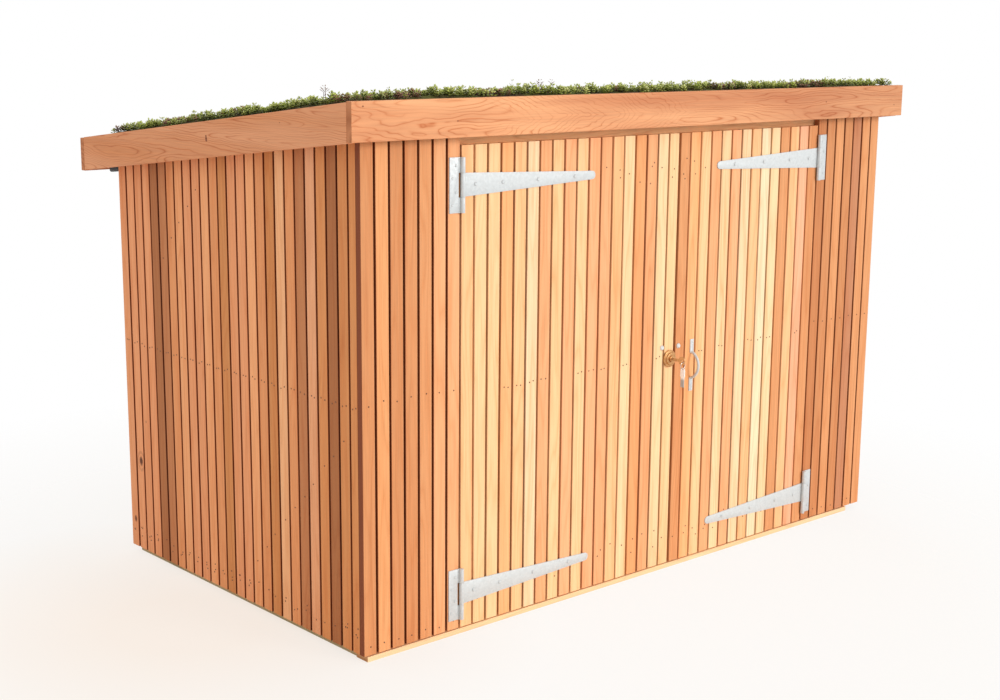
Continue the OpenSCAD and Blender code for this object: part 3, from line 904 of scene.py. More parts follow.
class MeshTree(Tree):
    """A geometry node tree with named inputs, which ends in one mesh of one finish."""

    def __init__(self, name: str, inputs: dict[str, str], made: str) -> None:
        """Makes the tree's inputs and its output.

        Args:
            name: The tree's name.
            inputs: Input names, each with its kind; Finish comes last by itself.
            made: The output's name.
        """
        super().__init__(bpy.data.node_groups.new(name, "GeometryNodeTree"))
        face = self.tree.interface
        for label, kind in {**inputs, "Finish": "Material"}.items():
            face.new_socket(label, in_out="INPUT", socket_type=f"NodeSocket{kind}")
        face.new_socket(made, in_out="OUTPUT", socket_type="NodeSocketGeometry")
        self.given = self.add("NodeGroupInput").outputs
        self.made = made

    def change(self, kind: str, mesh: Socket, values: dict | None = None, **settings: object) -> Socket:
        """Adds a node that changes a mesh, and gives the changed mesh."""
        return self.out(kind, "Geometry", {"Geometry": mesh, **(values or {})}, **settings)

    def store(self, mesh: Socket, name: str, value: Socket, domain: str = "POINT") -> Socket:
        """Stores a number on a mesh's points, or on each instance."""
        values = {"Name": name, "Value": value}
        return self.change("GeometryNodeStoreNamedAttribute", mesh, values, data_type="FLOAT", domain=domain)

    def named(self, name: str) -> Socket:
        """Reads a stored number."""
        return self.out("GeometryNodeInputNamedAttribute", "Attribute", {"Name": name}, data_type="FLOAT")

    def instances(self, points: Socket, instance: Socket, values: dict | None = None) -> Socket:
        """Sets an instance on every point, with further inputs of that node."""
        values = {"Points": points, "Instance": instance, **(values or {})}
        return self.out("GeometryNodeInstanceOnPoints", "Instances", values)

    def close(self, mesh: Socket) -> None:
        """Gives the mesh its finish and ends the tree."""
        mesh = self.change("GeometryNodeSetMaterial", mesh, {"Material": self.given["Finish"]})
        self.add("NodeGroupOutput", {self.made: mesh})

    def run(self, piece: bpy.types.Object, values: dict) -> bpy.types.Object:
        """Runs the tree on a piece and keeps the result as a plain mesh.

        Args:
            piece: The piece with the tree's source mesh.
            values: The tree's inputs by name.

        Returns:
            The same piece, with the made mesh.
        """
        modifier = piece.modifiers.new(self.tree.name, "NODES")
        modifier.node_group = self.tree
        for item in self.tree.interface.items_tree:
            if item.item_type == "SOCKET" and item.in_out == "INPUT" and item.name in values:
                modifier[item.identifier] = values[item.name]
        piece.update_tag()
        return plain_mesh(piece)


# Boards --------------------------------------------------------------------------------------------


class BoardTree(MeshTree):
    """The node tree that makes a row of upright boards from points at the boards' feet."""

    def __init__(self) -> None:
        """Builds the tree."""
        sizes = dict.fromkeys(("Size along X", "Size along Y", "Board length", "Eased edge"), "Float")
        super().__init__("board_row", {"Points": "Geometry", **sizes, "Row direction": "Vector"}, "Boards")
        given = self.given
        length, way = given["Board length"], given["Row direction"]
        board = self.board()
        at = self.out("GeometryNodeInputPosition", "Position")
        across = self.vector_math("DOT_PRODUCT", at, way)
        size = self.joined(X=given["Size along X"], Y=given["Size along Y"])
        half = self.math("MULTIPLY", self.vector_math("DOT_PRODUCT", size, way), 0.5)
        board = self.store(board, "side", self.math("SIGN", across))
        board = self.store(board, "end", self.math("DIVIDE", self.height_of(at), length))
        board = self.store(board, "across", self.math("DIVIDE", across, half))
        row = self.change("GeometryNodeRealizeInstances", self.instances(given["Points"], board))
        wider = self.math("MULTIPLY", self.named("extra_width"), 0.5)
        wider = self.math("MULTIPLY", self.named("side"), wider)
        longer = self.math("MULTIPLY", self.named("end"), self.named("extra_length"))
        sideways = self.vector_math("MULTIPLY", way, self.joined(X=wider, Y=wider, Z=wider))
        offset = self.vector_math("ADD", sideways, self.joined(Z=longer))
        self.close(self.change("GeometryNodeSetPosition", row, {"Offset": offset}))

    def board(self) -> Socket:
        """One board at the origin: its rounded outline, filled and drawn up."""
        given = self.given
        outline = {"Width": given["Size along X"], "Height": given["Size along Y"]}
        outline = self.out("GeometryNodeCurvePrimitiveQuadrilateral", "Curve", outline)
        rounded = self.add("GeometryNodeFilletCurve", {"Curve": outline, "Radius": given["Eased edge"]})
        rounded.mode = "POLY"
        self.port(rounded.inputs, "Count").default_value = 2
        foot = self.out("GeometryNodeFillCurve", "Mesh", {"Curve": rounded.outputs[0]}, mode="NGONS")
        drawn = {"Mesh": foot, "Offset": self.joined(Z=given["Board length"]), "Offset Scale": 1.0}
        whole = self.add("GeometryNodeJoinGeometry")
        self.feed(whole.inputs[0], self.out("GeometryNodeExtrudeMesh", "Mesh", drawn, mode="FACES"))
        self.feed(whole.inputs[0], self.out("GeometryNodeFlipFaces", "Mesh", {"Mesh": foot}))
        return self.change("GeometryNodeMergeByDistance", whole.outputs[0], {"Distance": SAME_PLACE})


@dataclass
class BoardRow:
    """One wall's or door's row of upright boards, standing for a CAD sheet of the same outline."""

    name: str
    node: str
    body: str
    slot: str
    along: Axis
    first: float
    tones: tuple[Tone, ...]
    tone_start: int = 0
    sloping: bool = False
    reverse: bool = False
    width: float = 0.038
    pitch: float = 0.044
    ease: float = 0.0016
    seed: int = 1
    jitter: float = 0.0005
    narrowest: float = 0.006
    most: int = 60
    trim: float = 1e-4
    shade_range: Pair = (0.97, 1.03)
    grain_step: float = 0.37
    # Range of each board's share of the painted shade on its side faces.
    gap_shade: Pair = (0.92, 1.0)

    def spans(self) -> list[tuple[int, float, float]]:
        """Each board's number and its two edges along the row, clipped to the CAD sheet."""
        low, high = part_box(self.node)
        step = 0 if self.along is Axis.X else 1
        start, stop = low[step], high[step]
        found = []
        for i in range(self.most):
            a = self.first + i * self.pitch
            b = a + self.width
            if self.reverse:
                a, b = self.first - i * self.pitch - self.width, self.first - i * self.pitch
            a, b = max(a, start), min(b, stop)
            if b - a > self.narrowest:
                found.append((i, a, b))
        return found

    def build(self, tree: BoardTree, material: bpy.types.Material) -> bpy.types.Object:
        """Builds the row.

        Args:
            tree: The tree that makes boards.
            material: The boards' finish.

        Returns:
            The row as one piece.
        """
        dice = random.Random(self.seed)
        low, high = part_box(self.node)
        flat = 1 if self.along is Axis.X else 0
        middle = (low[flat] + high[flat]) / 2
        thick = high[flat] - low[flat]
        feet, wider, longer, tones, hearts, grains, painted_gap_shade_shares = [], [], [], [], [], [], []
        for i, a, b in self.spans():
            full = b - a > self.width - self.trim
            nudge = dice.uniform(-self.jitter, self.jitter) if full else 0.0
            centre = (a + b) / 2 + nudge
            feet.append((centre, middle, low.z) if flat else (middle, centre, low.z))
            wider.append(b - a - self.width)
            longer.append(-SLOPE * (b - low.y) if self.sloping else 0.0)
            tone = self.tones[(i - self.tone_start) % len(self.tones)].colour
            shade = dice.uniform(*self.shade_range)
            tones.append(scaled(tone, shade, shade, shade))
            warm = dice.uniform(0.0, 1.0)
            hearts.append(scaled(tone, 0.98 - 0.06 * warm, 0.93 - 0.13 * warm, 0.88 - 0.18 * warm))
            grains.append(dice.uniform(0.0, 1.0) + i * self.grain_step)
            painted_gap_shade_shares.append(dice.uniform(*self.gap_shade))
        mesh = bpy.data.meshes.new(self.name)
        mesh.from_pydata(feet, [], [])
        numbers = (("extra_width", wider), ("extra_length", longer), ("grain", grains), ("gap", painted_gap_shade_shares))
        for name, values in numbers:
            mesh.attributes.new(name, "FLOAT", "POINT").data.foreach_set("value", values)
        for name, values in (("tone", tones), ("heart", hearts)):
            layer = mesh.attributes.new(name, "FLOAT_COLOR", "POINT")
            layer.data.foreach_set("color", [part for colour in values for part in colour])
        piece = new_object(self.name, mesh)
        size_x, size_y = (self.width, thick) if flat else (thick, self.width)
        values = {"Size along X": size_x, "Size along Y": size_y, "Board length": high.z - low.z}
        values |= {"Eased edge": self.ease, "Row direction": self.along.value, "Finish": material}
        tree.run(piece, values)
        return place_piece(piece, self.body, self.slot, self.node)


# Nails and bolts -----------------------------------------------------------------------------------


class HeadTree(MeshTree):
    """The node tree that sets round heads on points, facing one way."""

    def __init__(self) -> None:
        """Builds the tree."""
        sizes = dict.fromkeys(("Head radius", "Top radius", "Head height"), "Float")
        super().__init__(
            "fixing_heads", {"Points": "Geometry", **sizes, "Sides": "Int", "Facing": "Vector"}, "Heads"
        )
        given = self.given
        cone = {"Vertices": given["Sides"], "Side Segments": 1, "Depth": given["Head height"]}
        cone |= {"Radius Top": given["Top radius"], "Radius Bottom": given["Head radius"]}
        head = self.out("GeometryNodeMeshCone", "Mesh", cone, fill_type="NGON")
        facing = {"Vector": given["Facing"]}
        turn = self.out("FunctionNodeAlignRotationToVector", "Rotation", facing, axis="Z")
        heads = self.instances(given["Points"], head, {"Rotation": turn})
        self.close(self.change("GeometryNodeRealizeInstances", heads))


@dataclass
class Heads:
    """A set of nail, screw or bolt heads on one face of one body."""

    name: str
    body: str
    slot: str
    facing: Place
    places: list[Place]
    radius: float
    height: float
    top_share: float = 0.6
    sides: int = 8

    def build(self, tree: HeadTree, material: bpy.types.Material) -> bpy.types.Object:
        """Builds the heads.

        Args:
            tree: The tree that makes heads.
            material: Their finish.

        Returns:
            All the heads as one piece.
        """
        mesh = bpy.data.meshes.new(self.name)
        mesh.from_pydata(self.places, [], [])
        piece = new_object(self.name, mesh)
        values = {"Head radius": self.radius, "Top radius": self.radius * self.top_share}
        values |= {"Head height": self.height, "Sides": self.sides, "Facing": self.facing, "Finish": material}
        tree.run(piece, values)
        return place_piece(piece, self.body, self.slot)


@dataclass
class BoardWalls:
    """All the rows of boards and the nails that hold them to the frames."""

    boards: BoardTree
    heads: HeadTree
    palette: Palette
    front_tones: tuple[Tone, ...] = (
        Tone.TAN, Tone.AMBER_LIGHT, Tone.TAN, Tone.TAN, Tone.AMBER, Tone.HONEY, Tone.HONEY,
        Tone.PEACH, Tone.STRAW, Tone.STRAW, Tone.APRICOT, Tone.PEACH, Tone.IVORY, Tone.HONEY,
        Tone.STRAW, Tone.GINGER, Tone.STRAW, Tone.GINGER, Tone.HONEY, Tone.PEACH, Tone.PALE,
        Tone.AMBER_LIGHT, Tone.HONEY, Tone.PALE, Tone.STRAW, Tone.AMBER, Tone.APRICOT, Tone.STRAW,
        Tone.HONEY, Tone.PALE, Tone.GINGER, Tone.IVORY, Tone.PEACH, Tone.CREAM, Tone.PALE,
        Tone.AMBER, Tone.PEACH, Tone.DUSK, Tone.AMBER, Tone.CLAY, Tone.TAN, Tone.AMBER,
        Tone.TAN, Tone.GREY_ROSE, Tone.AMBER, Tone.AMBER,
    )
    wall_tones: tuple[Tone, ...] = (
        Tone.WALL_ROSE, Tone.WALL_ROSE, Tone.WALL_ROSE, Tone.WALL_ROSE, Tone.WALL_BROWN,
        Tone.WALL_DUSK, Tone.WALL_AMBER, Tone.WALL_HONEY, Tone.WALL_ROSE, Tone.WALL_ROSE,
        Tone.WALL_HONEY, Tone.WALL_AMBER, Tone.WALL_GOLD, Tone.WALL_ROSE, Tone.WALL_ROSE,
        Tone.WALL_HONEY, Tone.WALL_AMBER, Tone.WALL_GOLD, Tone.WALL_PEACH, Tone.WALL_AMBER,
        Tone.WALL_DUSK, Tone.WALL_PINK, Tone.WALL_OCHRE, Tone.WALL_BROWN, Tone.WALL_OCHRE,
        Tone.WALL_OCHRE,
    )
    back_boards: int = 45
    nail_radius: float = 0.0021
    nail_rise: float = 0.0007
    nail_top: float = 0.85
    nail_sides: int = 8
    between_straps: float = 0.235
    door_pair: float = 0.014
    wall_pair: float = 0.013
    panel_foot: float = 0.040
    panel_rail: float = 0.652
    door_rail: float = 0.634
    door_foot: Pair = (0.078, 0.130)
    door_top: Pair = (1.122, 1.190)
    wall_rail: float = 0.640
    wall_foot: Pair = (0.054, 0.086)
    back_ends: Pair = (0.071, 1.118)
    front_brace: tuple[Pair, ...] = ((-0.508, 0.561), (-0.094, 0.138))
    back_brace: tuple[Pair, ...] = ((0.116, 1.151), (0.378, 0.865))
    brace_seed: int = 5

    def rows(self) -> list[BoardRow]:
        """The rows of boards."""
        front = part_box("front_left_boards")[0].x
        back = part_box("left_wall_boards")[1].y
        inner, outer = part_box("back_wall_boards")
        spare = (outer.x - inner.x) - ((self.back_boards - 1) * BoardRow.pitch + BoardRow.width)
        made = []
        # The last column is each row's range of painted shade between its boards.
        for name, body, slot, seed, shade in (
            ("front_left", "root", "cedar_front", 11, (0.8, 0.92)),
            ("front_right", "root", "cedar_front", 12, (0.4, 0.8)),
            ("left_door", "left_door", "cedar_pale", 13, (0.1, 0.5)),
            ("right_door", "right_door", "cedar_pale", 14, (0.0, 0.35)),
        ):
            names = (f"boards_{name}", f"{name}_boards", body, slot)
            made.append(BoardRow(*names, Axis.X, front, self.front_tones, seed=seed, gap_shade=shade))
        for name, along, first, start, seed in (
            ("left_wall", Axis.Y, back, 0, 15),
            ("right_wall", Axis.Y, back, 9, 16),
            ("back_wall", Axis.X, inner.x + spare / 2, 4, 17),
        ):
            names = (f"boards_{name}", f"{name}_boards", "root", "cedar_side")
            side = along is Axis.Y
            made.append(BoardRow(*names, along, first, self.wall_tones, start, side, side, seed=seed))
        return made

    def nail_row(
        self, row: BoardRow, heights: tuple[float, ...], apart: float, seed: int, share: float = 1.0
    ) -> list[Pair]:
        """Nails at the same height across a row of boards.

        Args:
            row: The row of boards.
            heights: The nails' heights.
            apart: Distance between the two nails of a board at the same height; 0 for one nail.
            seed: Seed of their small misplacements.
            share: Share of the boards that have them.

        Returns:
            Places as distance along the row and height.
        """
        dice = random.Random(seed)
        found = []
        for _, a, b in row.spans():
            if dice.random() > share:
                continue
            for height in heights:
                for side in ((-1, 1) if apart else (0,)):
                    along = (a + b) / 2 + side * apart / 2 + dice.uniform(-0.0025, 0.0025)
                    found.append((along, height + dice.uniform(-0.004, 0.004)))
        return found

    def nail_band(self, row: BoardRow, band: Pair, most: int, seed: int) -> list[Pair]:
        """One or more nails on each board, at any height within a band.

        Args:
            row: The row of boards.
            band: Bottom and top of the band.
            most: Most nails on a board.
            seed: Seed of their places.

        Returns:
            Places as distance along the row and height.
        """
        dice = random.Random(seed)
        found = []
        for _, a, b in row.spans():
            for _ in range(dice.randint(1, most)):
                found.append(((a + b) / 2 + dice.uniform(-0.008, 0.008), dice.uniform(*band)))
        return found

    def brace_nails(self, row: BoardRow, start: Pair, stop: Pair) -> list[Pair]:
        """Nails along a brace: one where each board crosses it.

        Args:
            row: The wall's boards.
            start: Front end of the brace, as distance along the wall and height.
            stop: Back end of the brace.

        Returns:
            Places as distance along the row and height.
        """
        dice = random.Random(self.brace_seed)
        found = []
        for _, a, b in row.spans():
            along = (a + b) / 2 + dice.uniform(-0.004, 0.004)
            if start[0] < along < stop[0]:
                share = (along - start[0]) / (stop[0] - start[0])
                found.append((along, start[1] + share * (stop[1] - start[1]) + dice.uniform(-0.005, 0.005)))
        return found

    def build(self) -> None:
        """Builds every row and its nails."""
        rows = {row.node: row for row in self.rows()}
        for row in rows.values():
            row.build(self.boards, self.palette.boards)
        out = self.nail_rise / 2 - SUNK
        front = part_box("front_left_boards")[0].y - out
        for side, seed, share in (("left", 21, 1.0), ("right", 22, 0.45)):
            row = rows[f"front_{side}_boards"]
            spots = self.nail_row(row, (self.panel_foot,), 0.0, seed, share)
            spots += self.nail_row(row, (self.panel_rail,), 0.0, seed + 50)
            self.nails(f"nails_front_{side}", "root", FRONTWARD, [(x, front, z) for x, z in spots])
        for door, seed in (("left_door", 23), ("right_door", 24)):
            row = rows[f"{door}_boards"]
            spots = self.nail_row(row, (self.door_rail,), self.door_pair, seed, 0.5)
            top = self.nail_band(row, self.door_top, 3, seed + 50)
            spots += [(x, z) for x, z in top if abs(x) < self.between_straps]
            spots += self.nail_band(row, self.door_foot, 2, seed + 70)
            self.nails(f"nails_{door}", door, FRONTWARD, [(x, front, z) for x, z in spots])
        for wall, side, seed in (("left_wall", -1, 25), ("right_wall", 1, 26)):
            node = f"{wall}_boards"
            row = rows[node]
            low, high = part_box(node)
            face = (low.x if side < 0 else high.x) + side * out
            spots = self.nail_row(row, (self.wall_rail,), self.wall_pair, seed)
            spots += self.nail_band(row, self.wall_foot, 3, seed + 50)
            spots += self.brace_nails(row, *self.front_brace)
            spots += self.brace_nails(row, *self.back_brace)
            self.nails(f"nails_{wall}", "root", (side, 0, 0), [(face, y, z) for y, z in spots])
        row = rows["back_wall_boards"]
        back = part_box("back_wall_boards")[1].y + out
        spots = self.nail_row(row, (self.wall_rail,), self.wall_pair, 27)
        spots += self.nail_row(row, self.back_ends, 0.0, 28)
        self.nails("nails_back_wall", "root", (0, 1, 0), [(x, back, z) for x, z in spots])

    def nails(self, name: str, body: str, facing: Place, places: list[Place]) -> None:
        """Builds one set of nails."""
        slot = "cedar_front" if body == "root" else "cedar_pale"
        shape = (self.nail_radius, self.nail_rise, self.nail_top, self.nail_sides)
        Heads(name, body, slot, facing, places, *shape).build(self.heads, self.palette.nail)


# Roof ----------------------------------------------------------------------------------------------


@dataclass
class RoofEdge:
    """The roof's edge boards, the wrapped batten under the back eaves, and the parts behind them."""

    palette: Palette
    ease: float = 0.0016

    def build(self) -> None:
        """Builds the edge boards and dresses the parts behind them."""
        long, side = self.palette.fascia_long, self.palette.fascia_side
        for name, material in (("front", long), ("back", long), ("left", side), ("right", side)):
            node = f"{name}_fascia"
            Eased(node, node + "_board", "root", "cedar_fascia", self.ease).build(material)
        node = "rear_eaves_batten"
        Eased(node, "eaves_batten_wrapped", "root", "roof_rubber", 0.006, 3, True).build(self.palette.rubber)
        dress("rafters", self.palette.sawn_depth)
        dress("soffit_battens", self.palette.sawn_depth)
        dress("roof_deck", self.palette.sheet_timber)
        dress("roof_sheet", self.palette.rubber)
        dress("growing_layer", self.palette.soil)


class SprigTree(MeshTree):
    """The node tree that scatters sprigs over the upper side of a mat."""

    def __init__(self) -> None:
        """Builds the tree."""
        patch = ("Sprigs a square metre", "Patch size", "Patch low", "Patch high")
        numbers = dict.fromkeys((*patch, "Smallest", "Largest", "Lean"), "Float")
        inputs = {"Mat": "Geometry", **numbers, "Seed": "Int", "Kinds": "Collection"}
        super().__init__("sprigs", inputs, "Plants")
        given = self.given
        spread = {"Mesh": given["Mat"], "Density": self.density(), "Seed": given["Seed"]}
        points = self.out("GeometryNodeDistributePointsOnFaces", "Points", spread, distribute_method="RANDOM")
        lean = given["Lean"]
        back = self.math("MULTIPLY", lean, -1.0)
        turns = self.joined(X=back, Y=back, Z=0.0), self.joined(X=lean, Y=lean, Z=math.tau)
        turn = self.chance(*turns, given["Seed"], "FLOAT_VECTOR")
        size = self.chance(given["Smallest"], given["Largest"], self.math("ADD", given["Seed"], 7.0))
        kinds = {"Collection": given["Kinds"], "Separate Children": True, "Reset Children": True}
        kinds = self.out("GeometryNodeCollectionInfo", "Instances", kinds)
        sprigs = self.instances(points, kinds, {"Pick Instance": True, "Rotation": turn, "Scale": size})
        tint = self.chance(0.0, 1.0, self.math("ADD", given["Seed"], 13.0))
        sprigs = self.store(sprigs, "tint", tint, "INSTANCE")
        self.close(self.change("GeometryNodeRealizeInstances", sprigs))

    def chance(self, low: object, high: object, seed: object, kind: str = "FLOAT") -> Socket:
        """A random value between two values."""
        values = {"Min": low, "Max": high, "Seed": seed}
        return self.out("FunctionNodeRandomValue", "Value", values, data_type=kind)

    def density(self) -> Socket:
        """How densely sprigs stand: on upper sides only, and in patches."""
        upward = self.math("GREATER_THAN", self.height_of(self.out("GeometryNodeInputNormal", "Normal")), 0.5)
        at = self.out("GeometryNodeInputPosition", "Position")
        patch = self.fine_noise(at, self.given["Patch size"], 1.0)
        above = self.math("GREATER_THAN", patch, self.given["Patch low"])
        inside = self.math("MULTIPLY", above, self.math("LESS_THAN", patch, self.given["Patch high"]))
        share = self.math("MULTIPLY", inside, upward)
        return self.math("MULTIPLY", share, self.given["Sprigs a square metre"])


@dataclass(frozen=True)
class Sprig:
    """One kind of sprig: whorls of small fleshy leaves up a short stem."""

    name: str
    whorls: tuple[tuple[float, float, float, int], ...]
    leaf_width: float
    stem: float
    seed: int
    tip_room: float = 0.004
    start_out: float = 0.0006

    def shape(self) -> tuple[list[Vector], list[tuple[int, ...]], list[float]]:
        """The sprig's points, its faces, and how high each point is from 0 to 1."""
        dice = random.Random(self.seed)
        points: list[Vector] = []
        faces: list[tuple[int, ...]] = []
        top = max(height for height, *_ in self.whorls) + self.tip_room
        if self.stem:
            self.spindle(points, faces, Vector((0, 0, 0)), Vector((0, 0, top * 0.9)), self.stem)
        for height, reach, lift, count in self.whorls:
            start = dice.uniform(0, math.tau)
            for i in range(count):
                turn = start + i * math.tau / count + dice.uniform(-0.25, 0.25)
                length = reach * dice.uniform(0.85, 1.1)
                way = Vector((math.cos(turn), math.sin(turn), 0))
                foot = way * self.start_out + Vector((0, 0, height))
                tip = way * length + Vector((0, 0, height + lift * dice.uniform(0.7, 1.2)))
                self.spindle(points, faces, foot, tip, self.leaf_width)
        return points, faces, [min(1.0, p.z / top) for p in points]

    def build(self, into: bpy.types.Collection) -> None:
        """Builds the sprig.

        Args:
            into: The collection that holds the kinds of sprig.
        """
        points, faces, rises = self.shape()
        mesh = bpy.data.meshes.new(self.name)
        mesh.from_pydata([tuple(p) for p in points], [], faces)
        mesh.attributes.new("rise", "FLOAT", "POINT").data.foreach_set("value", rises)
        mesh.shade_smooth()
        into.objects.link(bpy.data.objects.new(self.name, mesh))

    @staticmethod
    def spindle(points: list[Vector], faces: list, foot: Vector, tip: Vector, width: float) -> None:
        """Adds a closed three-sided leaf, fattest past its middle.

        Args:
            points: The mesh's points so far.
            faces: The mesh's faces so far.
            foot: The leaf's foot.
            tip: The leaf's tip.
            width: Its width.
        """
        way = (tip - foot).normalized()
        side = way.cross(Vector((0, 0, 1)))
        if side.length < 0.1:
            side = Vector((1, 0, 0))
        side.normalize()
        up = side.cross(way)
        belly = foot.lerp(tip, 0.6)
        first = len(points)
        points.append(foot)
        for across, rise in ((-0.5, 0.12), (0.5, 0.12), (0.0, -0.3)):
            points.append(belly + side * (across * width) + up * (rise * width))
        points.append(tip)
        for i in range(3):
            a, b = first + 1 + i, first + 1 + (i + 1) % 3
            faces.append((first, b, a))
            faces.append((first + 4, a, b))


@dataclass
class Planting:
    """The planted roof: a lumpy mat covered with sprigs of stonecrop."""

    palette: Palette
    thickness: float = 0.038
    mat_rise: float = 0.011
    rim_rise: float = 0.004
    lump: float = 0.006
    broad_lumps: float = 9.0
    fine_lumps: float = 31.0
    cells_x: int = 110
    cells_y: int = 58
    low_kinds: tuple[Sprig, ...] = (
        Sprig(
            "sprig_rosette",
            ((0.004, 0.0105, 0.002, 5), (0.008, 0.009, 0.004, 4), (0.012, 0.005, 0.005, 3)),
            0.0058, 0.0, 1,
        ),
        Sprig(
            "sprig_upright",
            ((0.004, 0.0085, 0.003, 4), (0.010, 0.0085, 0.004, 4), (0.016, 0.006, 0.005, 3)),
            0.0047, 0.002, 2,
        ),
        Sprig(
            "sprig_loose",
            ((0.003, 0.013, 0.004, 4), (0.008, 0.0105, 0.006, 4), (0.011, 0.0055, 0.007, 3)),
            0.0052, 0.0, 3,
        ),
    )
    tall_kinds: tuple[Sprig, ...] = (
        Sprig(
            "sprig_tall",
            (
                (0.010, 0.006, 0.004, 3), (0.020, 0.006, 0.005, 3),
                (0.030, 0.006, 0.006, 3), (0.038, 0.004, 0.006, 2),
            ),
            0.0032, 0.0018, 4,
        ),
        Sprig(
            "sprig_thin",
            ((0.014, 0.007, 0.005, 2), (0.026, 0.008, 0.007, 2), (0.040, 0.006, 0.007, 3)),
            0.0028, 0.0015, 5,
        ),
    )
    wisp: Sprig = Sprig(
        "sprig_wisp",
        (
            (0.018, 0.007, 0.007, 1), (0.027, 0.012, 0.010, 2),
            (0.034, 0.013, 0.005, 2), (0.041, 0.006, 0.003, 2),
        ),
        0.0026, 0.0017, 6,
    )
    wisp_places: tuple[Pair, ...] = (
        (-1.036, -0.470), (-1.024, -0.462), (-0.398, -0.560), (-0.425, -0.548), (-0.410, -0.530),
    )
    wisp_sunk: float = 0.003
    wisp_turn: float = 2.1
    wisp_lean: float = 0.10
    wisp_tint: float = 0.2

    def mat_height(self, x: float, y: float, foot: float) -> float:
        """Height of the mat's lumpy upper side where its underside is at the foot's height."""
        broad = noise.noise(Vector((x * self.broad_lumps, y * self.broad_lumps, 0.3)))
        fine = noise.noise(Vector((x * self.fine_lumps, y * self.fine_lumps, 1.7)))
        return foot + self.mat_rise + self.lump * (broad + 0.5 * fine)

    def mat(self) -> bpy.types.Object:
        """Builds the mat as a closed lumpy slab."""
        low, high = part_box("plant_mat")
        foot_front = high.z - self.thickness
        build = bmesh.new()
        tops, feet = [], []
        for j in range(self.cells_y + 1):
            for i in range(self.cells_x + 1):
                x = low.x + (high.x - low.x) * i / self.cells_x
                y = low.y + (high.y - low.y) * j / self.cells_y
                foot = foot_front - SLOPE * (y - low.y)
                rim = i in (0, self.cells_x) or j in (0, self.cells_y)
                z = foot + self.rim_rise if rim else self.mat_height(x, y, foot)
                tops.append(build.verts.new((x, y, z)))
                feet.append(build.verts.new((x, y, foot)) if rim else None)
        wide = self.cells_x + 1
        for j in range(self.cells_y):
            for i in range(self.cells_x):
                a = j * wide + i
                build.faces.new((tops[a], tops[a + 1], tops[a + 1 + wide], tops[a + wide]))
        around = list(range(wide))
        around += [j * wide + self.cells_x for j in range(1, self.cells_y + 1)]
        around += [self.cells_y * wide + i for i in range(self.cells_x - 1, -1, -1)]
        around += [j * wide for j in range(self.cells_y - 1, 0, -1)]
        for a, b in zip(around, around[1:] + around[:1]):
            build.faces.new((feet[a], feet[b], tops[b], tops[a]))
        build.faces.new([feet[a] for a in reversed(around)])
        mesh = bpy.data.meshes.new("roof_mat")
        build.to_mesh(mesh)
        build.free()
        mesh.materials.append(self.palette.mat)
        return new_object("roof_mat", mesh)

    def kinds(self) -> tuple[bpy.types.Collection, bpy.types.Collection]:
        """Makes the kinds of sprig: low ones for the whole roof, and a few tall ones."""
        low = bpy.data.collections.new("low_sprigs")
        tall = bpy.data.collections.new("tall_sprigs")
        for kind in self.low_kinds:
            kind.build(low)
        for kind in self.tall_kinds:
            kind.build(tall)
        return low, tall

    def wisps(self) -> None:
        """Sets a few thin flower stalks that stand above the low sprigs."""
        low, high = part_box("plant_mat")
        shape, faces, rises = self.wisp.shape()
        points, all_faces = [], []
        for i, (x, y) in enumerate(self.wisp_places):
            first = len(points)
            under = high.z - self.thickness - SLOPE * (y - low.y)
            foot = Vector((x, y, self.mat_height(x, y, under) - self.wisp_sunk))
            lean = Matrix.Rotation(self.wisp_lean * (1 - i % 3), 3, "X")
            turn = Matrix.Rotation(i * self.wisp_turn, 3, "Z") @ lean
            points += [tuple(foot + turn @ p) for p in shape]
            all_faces += [tuple(first + corner for corner in face) for face in faces]
        mesh = bpy.data.meshes.new("plants_wisps")
        mesh.from_pydata(points, [], all_faces)
        tints = [self.wisp_tint] * len(points)
        for name, values in (("rise", rises * len(self.wisp_places)), ("tint", tints)):
            mesh.attributes.new(name, "FLOAT", "POINT").data.foreach_set("value", values)
        mesh.shade_smooth()
        mesh.materials.append(self.palette.leaf_red)
        place_piece(new_object("plants_wisps", mesh), "root", "plants", "plant_mat")

    def build(self) -> None:
        """Builds the mat and its plants."""
        mat = self.mat()
        low, tall = self.kinds()
        tree = SprigTree()
        green = {"Patch size": 7.0, "Patch low": 0.0, "Patch high": 0.56}
        green |= {"Smallest": 0.8, "Largest": 1.45, "Lean": 0.45}
        red = {**green, "Patch low": 0.54, "Patch high": 1.0, "Smallest": 0.75, "Largest": 1.2}
        all_over = {**green, "Patch high": 1.0}
        upright = {**all_over, "Smallest": 0.6, "Largest": 1.0, "Lean": 0.25}
        sets = (
            ("plants_green_a", 1000.0, self.palette.leaf_green, 31, low, all_over),
            ("plants_green_b", 950.0, self.palette.leaf_green, 32, low, green),
            ("plants_lime", 850.0, self.palette.leaf_lime, 33, low, green),
            ("plants_red", 2400.0, self.palette.leaf_red, 34, low, red),
            ("plants_tall", 16.0, self.palette.leaf_green, 35, tall, upright),
        )
        for name, density, material, seed, kinds, values in sets:
            piece = new_object(name, mat.data.copy())
            given = {"Sprigs a square metre": density, "Seed": seed, "Kinds": kinds, "Finish": material}
            tree.run(piece, {**values, **given})
            place_piece(piece, "root", "plants", "plant_mat")
        self.wisps()
        place_piece(mat, "root", "plants", "plant_mat")
        for collection in (low, tall):
            for kind in list(collection.objects):
                bpy.data.objects.remove(kind)
            bpy.data.collections.remove(collection)


# Ironwork ------------------------------------------------------------------------------------------


